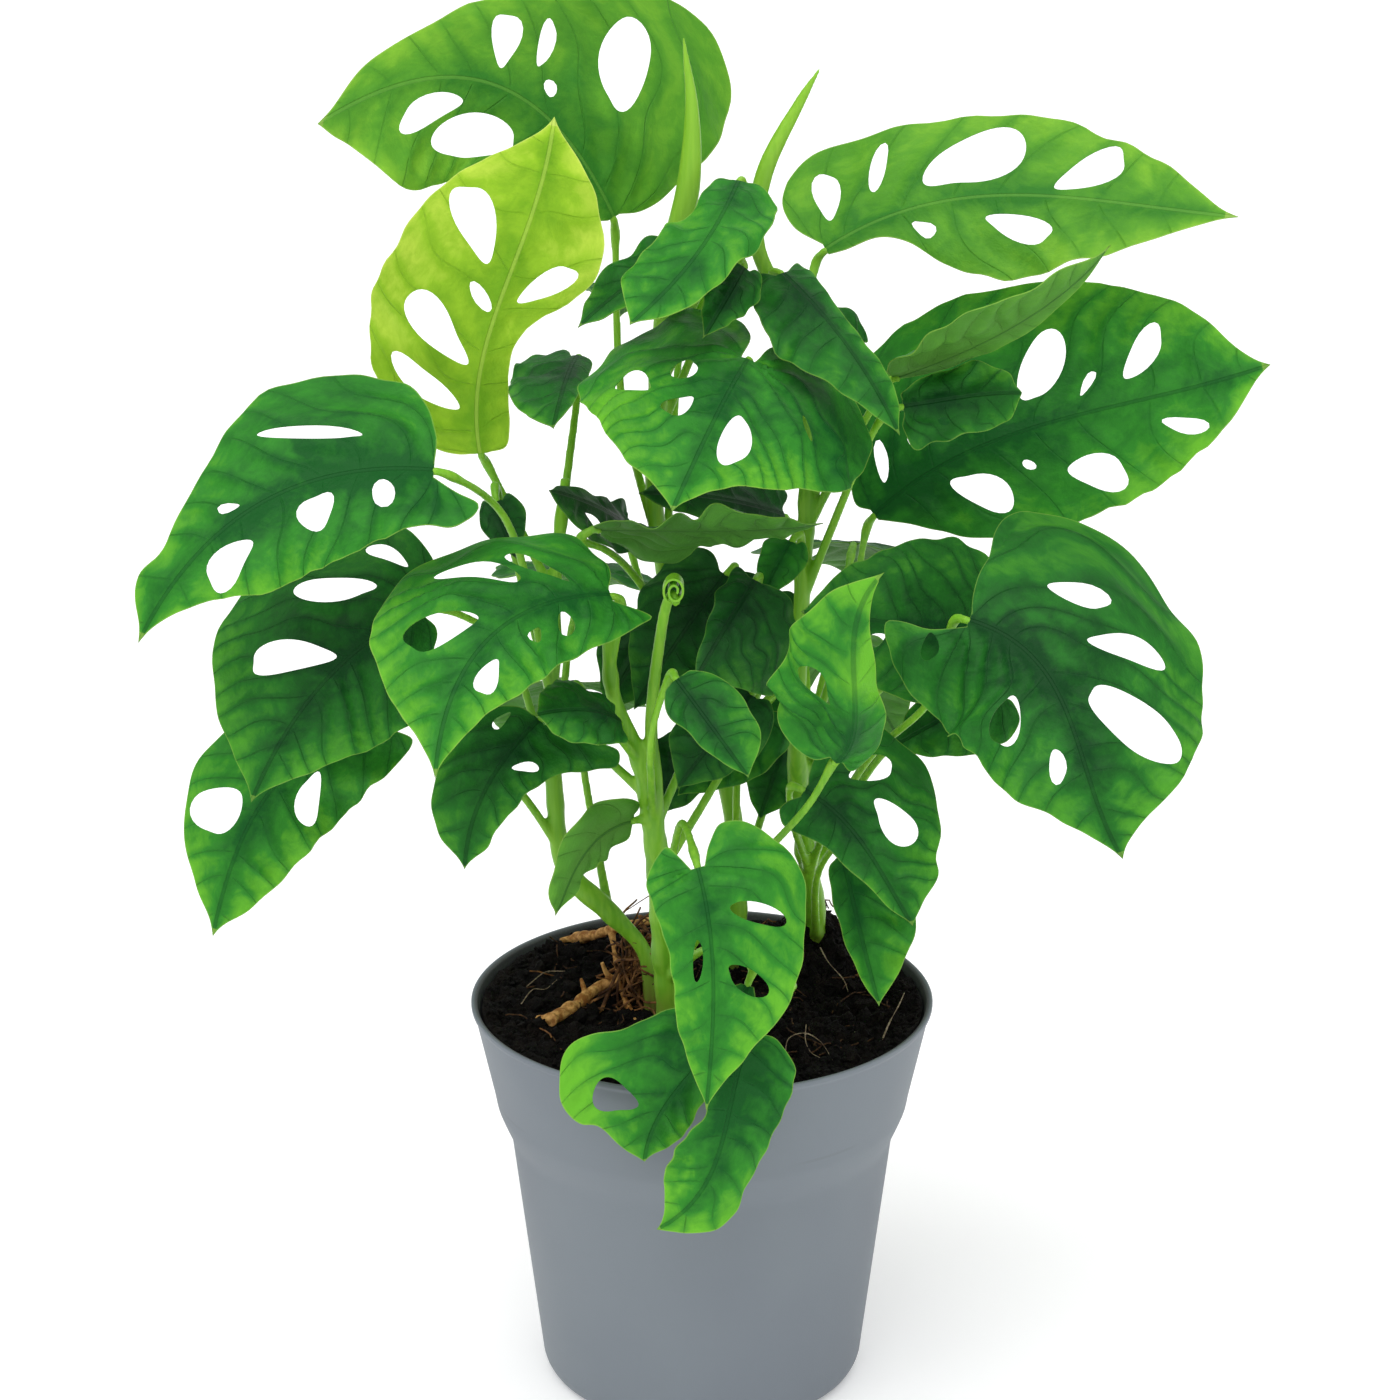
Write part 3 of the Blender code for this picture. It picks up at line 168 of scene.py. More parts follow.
class Graph:
    """A node tree that one method fills with any kind of node."""

    def __init__(self, tree: bpy.types.NodeTree) -> None:
        """Keep the tree."""
        self.tree = tree

    def node(self, kind: str, values: dict | None = None, output: int | str = 0, **settings: object) -> Wire:
        """Add a node.

        Args:
            kind: The node's type name.
            values: Inputs by name or place, each a Wire or a plain value.
            output: Which output to return.
            settings: The node's own properties, set first.

        Returns:
            The chosen output, or the first input of a node that has no output.
        """
        made = self.tree.nodes.new(kind)
        for key, value in settings.items():
            setattr(made, key, value)
        for key, value in (values or {}).items():
            if isinstance(value, Wire):
                self.tree.links.new(value.socket, made.inputs[key])
            else:
                made.inputs[key].default_value = value
        return Wire(self, made.outputs[output] if len(made.outputs) else made.inputs[0])

    def vector(self, operation: str, first: Wire, second: Wire | Point) -> Wire:
        """Work on two vectors."""
        return self.node("ShaderNodeVectorMath", {0: first, 1: second}, operation=operation)

    def mix(self, share: Wire, first: object, second: object) -> Wire:
        """Blend two linear colours or Wires by the share of the second."""
        return self.node("ShaderNodeMix", {0: share, 6: first, 7: second}, 2, data_type="RGBA")

    def noise(self, where: Wire, scale: float, detail: float = 2.0, roughness: float = 0.5,
              distortion: float = 0.0, output: int | str = 0) -> Wire:
        """Make noise round a half.

        Args:
            where: The coordinates.
            scale: Waves to each unit of them.
            detail: How many finer layers it has.
            roughness: How strong those are.
            distortion: How far it is pushed about by itself.
            output: Its value, or its colour.

        Returns:
            The noise.
        """
        values = {"Vector": where, "Scale": scale, "Detail": detail, "Roughness": roughness,
                  "Distortion": distortion}
        return self.node("ShaderNodeTexNoise", values, output)


class ShaderGraph(Graph):
    """A material's node tree with its Principled shader."""

    def __init__(self, name: str, **values: float) -> None:
        """Make a material.

        Args:
            name: The material's name.
            values: The shader's plain numbers, with underscores for the spaces of their names.
        """
        self.material = bpy.data.materials.new(name)
        self.material.use_nodes = True
        super().__init__(self.material.node_tree)
        self.shader = self.tree.nodes["Principled BSDF"]
        for key, value in values.items():
            self.shader.inputs[key.replace("_", " ")].default_value = value

    def feed(self, name: str, value: Wire) -> None:
        """Link a varying value to one of the shader's inputs."""
        self.tree.links.new(value.socket, self.shader.inputs[name])

    def paint(self, ground: Colour, *coats: tuple[Wire, Colour]) -> None:
        """Lay screen colours over each other as the base colour.

        Args:
            ground: The lowest colour.
            coats: The share and colour of each coat that follows.
        """
        skin = linear(ground)
        for share, colour in coats:
            skin = self.mix(share, skin, linear(colour))
        self.feed("Base Color", skin)

    def bump(self, height: Wire, distance: float, strength: float) -> None:
        """Give the surface fine relief of a height in metres, and how much of it shows."""
        values = {"Height": height, "Distance": distance, "Strength": strength}
        self.feed("Normal", self.node("ShaderNodeBump", values))

    def here(self) -> Wire:
        """Return the surface's own coordinates in millimetres."""
        return self.scaled(self.node("ShaderNodeTexCoord", output="Object"), (1000.0, 1000.0, 1000.0))

    def scaled(self, where: Wire, shares: Point) -> Wire:
        """Stretch coordinates by a share for each axis."""
        return self.vector("MULTIPLY", where, shares)

    def axis(self, where: Wire, name: str) -> Wire:
        """Return one axis of the coordinates."""
        return self.node("ShaderNodeSeparateXYZ", {0: where}, name)

    def attribute(self, name: str, output: str = "Fac") -> Wire:
        """Read one of the mesh's own attributes."""
        return self.node("ShaderNodeAttribute", output=output, attribute_name=name)


class Tone(Enum):
    """The leaf greens, from the youngest leaf to those in its shade: SUNLIT is a green of painted light and
    SHADED one of painted shade.
    """

    LIME = "lime"
    SUNLIT = "sunlit"
    FRESH = "fresh"
    MATURE = "mature"
    SHADED = "shaded"


@dataclass(frozen=True)
class LeafFinish:
    """A leaf's waxy green skin: painted shade along its veins and base, painted light between them towards
    the margin.
    """

    name: str
    slot: str
    # shade and light are the darkest and lightest greens, laid on by the painted shade and painted light
    shade: Colour
    body: Colour
    light: Colour
    rib: Colour
    margin: Colour
    underside: Colour

    def build(self) -> bpy.types.Material:
        """Make the material.

        Returns:
            A material that reads the blade's plan, vein, glow and under attributes.
        """
        graph = ShaderGraph(self.name, Specular_IOR_Level=0.14, IOR=1.45)
        plan = graph.attribute("plan", "Vector")
        out, edge = abs(graph.axis(plan, "Y")), graph.axis(plan, "Z")
        under = graph.attribute("under")
        near_vein = abs(graph.attribute("vein").fraction() - 0.5) * 2.0
        patch = graph.noise(plan, 0.055, 2.0, 0.5, 0.8).step(0.38, 0.62)
        blotch = graph.noise(plan, 0.17, 3.0, 0.6, 0.7).step(0.36, 0.66)
        mottle = graph.noise(plan, 0.48, 3.0, 0.6, 0.3).step(0.35, 0.72)
        fine = graph.noise(plan, 1.7)
        # Painted shade in the furrows along the side veins, and band is painted shade along the midrib
        # groove
        furrow_shade = near_vein.step(0.40, 1.0) * out.step(0.5, 5.0) * (patch * 0.7 + 0.3)
        vein = near_vein.step(0.93, 1.0) * out.step(0.3, 2.0) * (blotch * 0.7 + 0.3)
        band, midrib, rim = out.step(4.5, 0.3), out.step(0.55, 0.25), edge.step(0.30, 0.10)
        # lit is the blade's painted light and shade, with random patches of tone
        lit = graph.attribute("painted_light") + patch * 0.26 + blotch * 0.16 + mottle * 0.07
        lit = (lit - furrow_shade * 0.27 - band * 0.14 - 0.155).clamped() * 2.0
        graph.paint(self.shade, (lit.clamped(), self.body), ((lit - 1.0).clamped(), self.light),
                    (vein * 0.34, self.shade), (under * 0.60, self.underside), (midrib * 0.42, self.rib),
                    (rim * 0.50, self.margin))
        graph.feed("Roughness", mottle * 0.08 + fine * 0.06 + under * 0.12 + 0.43)
        grooves = (vein * 0.35 + midrib * 0.4) * (1.0 - under * 2.0)
        graph.bump(graph.noise(plan, 0.7) * 0.30 + fine * 0.08 - grooves, 0.0008, 0.8)
        return graph.material


# SUNLIT paints the top leaves lighter and SHADED paints the inner leaves darker, as painted light and
# painted shade
LEAF_FINISHES = {
    Tone.LIME: LeafFinish("lime leaf", "leaf_lime", (108, 164, 26), (148, 196, 42), (200, 228, 80),
                          (184, 216, 92), (214, 232, 120), (176, 206, 84)),
    Tone.SUNLIT: LeafFinish("sunlit leaf", "leaf_green", (52, 124, 38), (90, 158, 44), (132, 192, 54),
                            (108, 168, 66), (168, 200, 96), (112, 164, 62)),
    Tone.FRESH: LeafFinish("fresh leaf", "leaf_green", (20, 88, 32), (50, 134, 40), (104, 182, 46),
                           (16, 78, 30), (150, 190, 80), (98, 150, 58)),
    Tone.MATURE: LeafFinish("mature leaf", "leaf_green", (14, 66, 26), (38, 112, 36), (82, 160, 44),
                            (12, 60, 24), (128, 172, 70), (82, 132, 50)),
    Tone.SHADED: LeafFinish("shaded leaf", "leaf_dark", (13, 54, 23), (28, 88, 31), (62, 128, 38),
                            (12, 50, 20), (92, 138, 56), (56, 98, 40)),
}


@dataclass(frozen=True)
class StemFinish:
    """Smooth living stem skin: bright yellow green, paler in the young shoots and brown at the foot."""

    green: Colour = (120, 186, 40)
    pale: Colour = (158, 208, 64)
    deep: Colour = (72, 134, 34)
    foot: Colour = (104, 78, 42)
    shoot_height: float = 318.0

    def build(self) -> bpy.types.Material:
        """Make the material.

        Returns:
            The material.
        """
        graph = ShaderGraph("stem skin", Specular_IOR_Level=0.3)
        here = graph.here()
        height = graph.axis(here, "Z")
        streak = graph.noise(graph.scaled(here, (1.0, 1.0, 0.05)), 0.8).step(0.35, 0.7)
        patch = graph.noise(here, 0.035).step(0.40, 0.62)
        speck = graph.noise(here, 1.6, 2.0, 0.6).step(0.68, 0.8)
        young = height.step(self.shoot_height - 40.0, self.shoot_height)
        low = height.step(SOIL_HEIGHT + 20.0, SOIL_HEIGHT - 2.0)
        graph.paint(self.green, (patch * 0.45, self.deep), (streak * 0.35, self.pale),
                    (young * 0.4, self.pale), ((low * (streak * 0.5 + 0.5)).clamped(), self.foot),
                    (speck * low * 0.6, self.foot))
        graph.feed("Roughness", streak * 0.10 + low * 0.2 + 0.38)
        graph.bump(streak * 0.3 + speck * low, 0.0003, 0.4)
        return graph.material


@dataclass(frozen=True)
class PotFinish:
    """Moulded blue grey plastic with a fine satin grain, a few scuffs, soiled edges and a line of painted
    shade.

    The shaded crease under the collar, the soiled band inside the rim and the worn foot are pairs of
    heights.
    """

    body: Colour = (119, 127, 134)
    dark: Colour = (111, 118, 127)
    scuff_and_shade: Colour = (94, 96, 100)
    soiled: Colour = (48, 42, 36)
    crease: Pair = (79.2, 80.3)
    soiled_rim: Pair = (98.5, 102.5)
    worn_foot: Pair = (2.6, 0.8)

    def build(self) -> bpy.types.Material:
        """Make the material.

        Returns:
            A material that reads the wall's inner attribute.
        """
        graph = ShaderGraph("pot plastic", Specular_IOR_Level=0.35)
        here = graph.here()
        height = graph.axis(here, "Z")
        cloud = graph.noise(here, 0.018).step(0.35, 0.7)
        grain = graph.noise(here, 2.6, 2.0, 0.6)
        nick = graph.noise(graph.scaled(here, (1.0, 1.0, 3.0)), 0.16, 4.0, 0.7).step(0.71, 0.75)
        # A line of painted shade darkens the crease under the collar, in the scuff colour
        low, high = self.crease
        line = height.step(low, low + 0.3) * height.step(high, high - 0.3)
        line = line * graph.noise(here, 0.03).step(0.45, 0.6)
        inside = height.step(*self.soiled_rim) * graph.attribute("inner") * (grain * 0.5 + 0.4)
        chip = graph.noise(here, 0.11, 3.0, 0.6).step(0.60, 0.68) * height.step(*self.worn_foot)
        graph.paint(self.body, (cloud * 0.5, self.dark), ((nick * 0.4 + line * 0.18).clamped(), self.scuff_and_shade),
                    ((inside + chip * 0.8).clamped(), self.soiled))
        graph.feed("Roughness", cloud * 0.05 + grain * 0.08 + 0.48)
        graph.bump(grain, 0.00008, 0.5)
        return graph.material


@dataclass(frozen=True)
class SoilFinish:
    """Damp peaty mix: near black, with brown fibres and lighter dried grains."""

    damp: Colour = (10, 8, 7)
    brown: Colour = (36, 25, 17)
    grain: Colour = (84, 60, 38)

    def build(self) -> bpy.types.Material:
        """Make the material.

        Returns:
            The material.
        """
        graph = ShaderGraph("potting soil", Specular_IOR_Level=0.2)
        here = graph.here()
        clod = graph.noise(here, 0.22, 4.0, 0.65).step(0.38, 0.72)
        crumb = graph.noise(here, 0.9, 4.0, 0.7)
        fibre = graph.noise(graph.scaled(here, (0.5, 2.2, 1.0)), 0.8, 3.0, 0.6, 1.5).step(0.60, 0.72)
        graph.paint(self.damp, (clod * 0.6, self.brown), (fibre * 0.25, self.grain),
                    (crumb.step(0.66, 0.8) * 0.4, self.grain))
        graph.feed("Roughness", crumb * 0.25 + 0.70)
        graph.bump(crumb + clod * 0.6 + fibre * 0.3, 0.0024, 1.0)
        return graph.material


@dataclass(frozen=True)
class GrainFinish:
    """A dry, matt skin of two colours mixed by a fine grain, for roots, flecks and the floor."""

    name: str
    first: Colour
    second: Colour
    scale: float
    roughness: float = 0.8
    relief: float = 0.0003
    shine: float = 0.0

    def build(self) -> bpy.types.Material:
        """Make the material.

        Returns:
            The material.
        """
        graph = ShaderGraph(self.name, Specular_IOR_Level=0.2, Emission_Strength=self.shine)
        grain = graph.noise(graph.here(), self.scale, 3.0, 0.6)
        graph.paint(self.first, (grain.step(0.35, 0.68), self.second))
        graph.feed("Roughness", grain * 0.15 + (self.roughness - 0.07))
        graph.bump(grain, self.relief, 0.8)
        return graph.material


DRY_ROOT_FINISH = GrainFinish("dry root bark", (146, 94, 44), (228, 176, 106), 0.45, 0.74, 0.0006)
TANGLE_FINISH = GrainFinish("root tangle", (58, 36, 22), (150, 104, 62), 0.22, 0.75)
FINE_ROOT_FINISH = GrainFinish("fine root", (110, 92, 72), (176, 160, 134), 0.6, 0.6)
FIBRE_FINISH = GrainFinish("soil fibre", (40, 27, 17), (92, 64, 40), 0.9)
FLECK_FINISH = GrainFinish("pale fleck", (150, 138, 116), (214, 208, 190), 0.6, 0.7)
FLOOR_FINISH = GrainFinish("studio floor", (248, 248, 248), (250, 250, 250), 0.004, 0.9, 0.00001, 0.22)


def unit(vector: Iterable[float]) -> np.ndarray:
    """Return the vector scaled to length one."""
    made = np.asarray(vector, float)
    return made / np.linalg.norm(made)


def smooth(points: Sequence, steps: int) -> np.ndarray:
    """Run an even, unlooped curve through points.

    Args:
        points: The points, with any further values such as a width after their place.
        steps: Steps to each span.

    Returns:
        The curve's points.
    """
    posts = np.asarray(points, float)
    posts = np.vstack([2 * posts[0] - posts[1], posts, 2 * posts[-1] - posts[-2]])
    gaps = np.sqrt(np.linalg.norm(np.diff(posts[:, :3], axis=0), axis=1)) + 1e-6
    path = []
    for i in range(len(posts) - 3):
        a, b, c, d = posts[i:i + 4]
        before, span, after = gaps[i:i + 3]
        leave = ((b - a) / before - (c - a) / (before + span) + (c - b) / span) * span
        arrive = ((c - b) / span - (d - b) / (span + after) + (d - c) / after) * span
        for step in range(steps):
            v = step / steps
            path.append((2 * v**3 - 3 * v**2 + 1) * b + (v**3 - 2 * v**2 + v) * leave
                        + (3 * v**2 - 2 * v**3) * c + (v**3 - v**2) * arrive)
    path.append(posts[-2])
    return np.array(path)


def run_along(line: np.ndarray) -> np.ndarray:
    """Return each point's distance along a line."""
    return np.concatenate([[0.0], np.cumsum(np.linalg.norm(np.diff(line, axis=0), axis=1))])


def ease(values: np.ndarray, low: float, high: float) -> np.ndarray:
    """Rise smoothly from 0 at low to 1 at high."""
    share = np.clip((values - low) / (high - low), 0.0, 1.0)
    return share * share * (3.0 - 2.0 * share)


def bell(values: np.ndarray, spread: float) -> np.ndarray:
    """Return a soft peak of 1 where the values are zero."""
    return np.exp(-(values / spread) ** 2)


def swell(points: np.ndarray, length: float, seed: int, waves: int = 7) -> np.ndarray:
    """Return soft random waves at each point.

    Args:
        points: Places, in the same unit as length.
        length: About the length of a wave.
        seed: The draw's fixed seed.
        waves: How many waves are added.

    Returns:
        Values round zero, mostly within 1.
    """
    draw = np.random.default_rng(seed)
    total = np.zeros(len(points))
    for _ in range(waves):
        way = unit(draw.normal(size=points.shape[1])) * TAU / (length * draw.uniform(0.7, 1.6))
        total += np.sin(points @ way + draw.uniform(0.0, TAU))
    return total / math.sqrt(waves)


def inside(points: np.ndarray, loop: np.ndarray) -> np.ndarray:
    """Tell which flat points lie inside a closed loop.

    Args:
        points: The flat points.
        loop: The loop's points.

    Returns:
        A mask of the points.
    """
    x, y = points[:, 0], points[:, 1]
    hit = np.zeros(len(points), bool)
    for (ax, ay), (bx, by) in zip(loop, np.roll(loop, -1, axis=0)):
        if ay != by:
            hit ^= ((ay > y) != (by > y)) & (x < (bx - ax) * (y - ay) / (by - ay) + ax)
    return hit


def on_blade(points: np.ndarray, outline: np.ndarray, holes: Sequence[np.ndarray]) -> np.ndarray:
    """Tell which flat points lie inside the outline and in none of the holes.

    Args:
        points: The flat points.
        outline: The blade's outline.
        holes: The outlines of its holes.

    Returns:
        A mask of the points.
    """
    keep = inside(points, outline)
    for loop in holes:
        keep &= ~inside(points, loop)
    return keep


def respaced(loop: np.ndarray, gap: float) -> np.ndarray:
    """Space the points of an open line evenly, keeping its ends.

    Args:
        loop: The line's points.
        gap: About the space between two points.

    Returns:
        The new points.
    """
    runs = run_along(loop)
    where = np.linspace(0.0, runs[-1], max(2, round(runs[-1] / gap) + 1))
    return np.column_stack([np.interp(where, runs, loop[:, i]) for i in range(loop.shape[1])])


def distance_to(points: np.ndarray, others: np.ndarray) -> np.ndarray:
    """Measure each point's distance to the nearest of the others.

    Args:
        points: The points.
        others: The points that they are measured to.

    Returns:
        The distances.
    """
    nearest = np.full(len(points), np.inf)
    for start in range(0, len(others), 64):
        gaps = points[:, None, :] - others[None, start:start + 64, :]
        nearest = np.minimum(nearest, (gaps**2).sum(2).min(1))
    return np.sqrt(nearest)


@dataclass(frozen=True)
class LeafPlan:
    """One leaf blade: where it hangs, how it bends, its margins and holes, and its green.

    Margins are points of (along, out), holes are (along, out, length, width, angle), and painted
    lights, areas of painted light or painted shade, are (along, out, reach, strength). All but the angle,
    in degrees, are in hundredths of the straight length from base to tip. A hole's out is negative on the
    left half.
    """

    name: str
    base: Point
    tip: Point
    face: Point
    rise: Pair
    tone: Tone
    right: tuple[Pair, ...]
    left: tuple[Pair, ...]
    holes: tuple[tuple[float, ...], ...] = ()
    sway: Pair = (0, 0)
    curl: Pair = (-20, -20)
    fold: Pair = (0, 0)
    wave: Point = (0, 0, 0)
    painted_lights: tuple[tuple[float, ...], ...] = ()


# A plain heart shaped half margin, for halves that the plant hides
HALF = ((-9, 13), (-8, 27), (6, 37), (28, 38), (52, 31), (76, 17), (91, 6))
SLIM_HALF = ((-8, 11), (-6, 21), (10, 27), (34, 28), (60, 21), (84, 9))

# A broad half margin with few points, for the small leaves deep inside
INNER_HALF = ((-8, 18), (6, 37), (42, 38), (78, 18))

# The youngest leaves sit straight on a stem in the shade, and have no lobes yet
SMALL_HALF = ((4, 10), (20, 27), (42, 34), (72, 24), (90, 9))

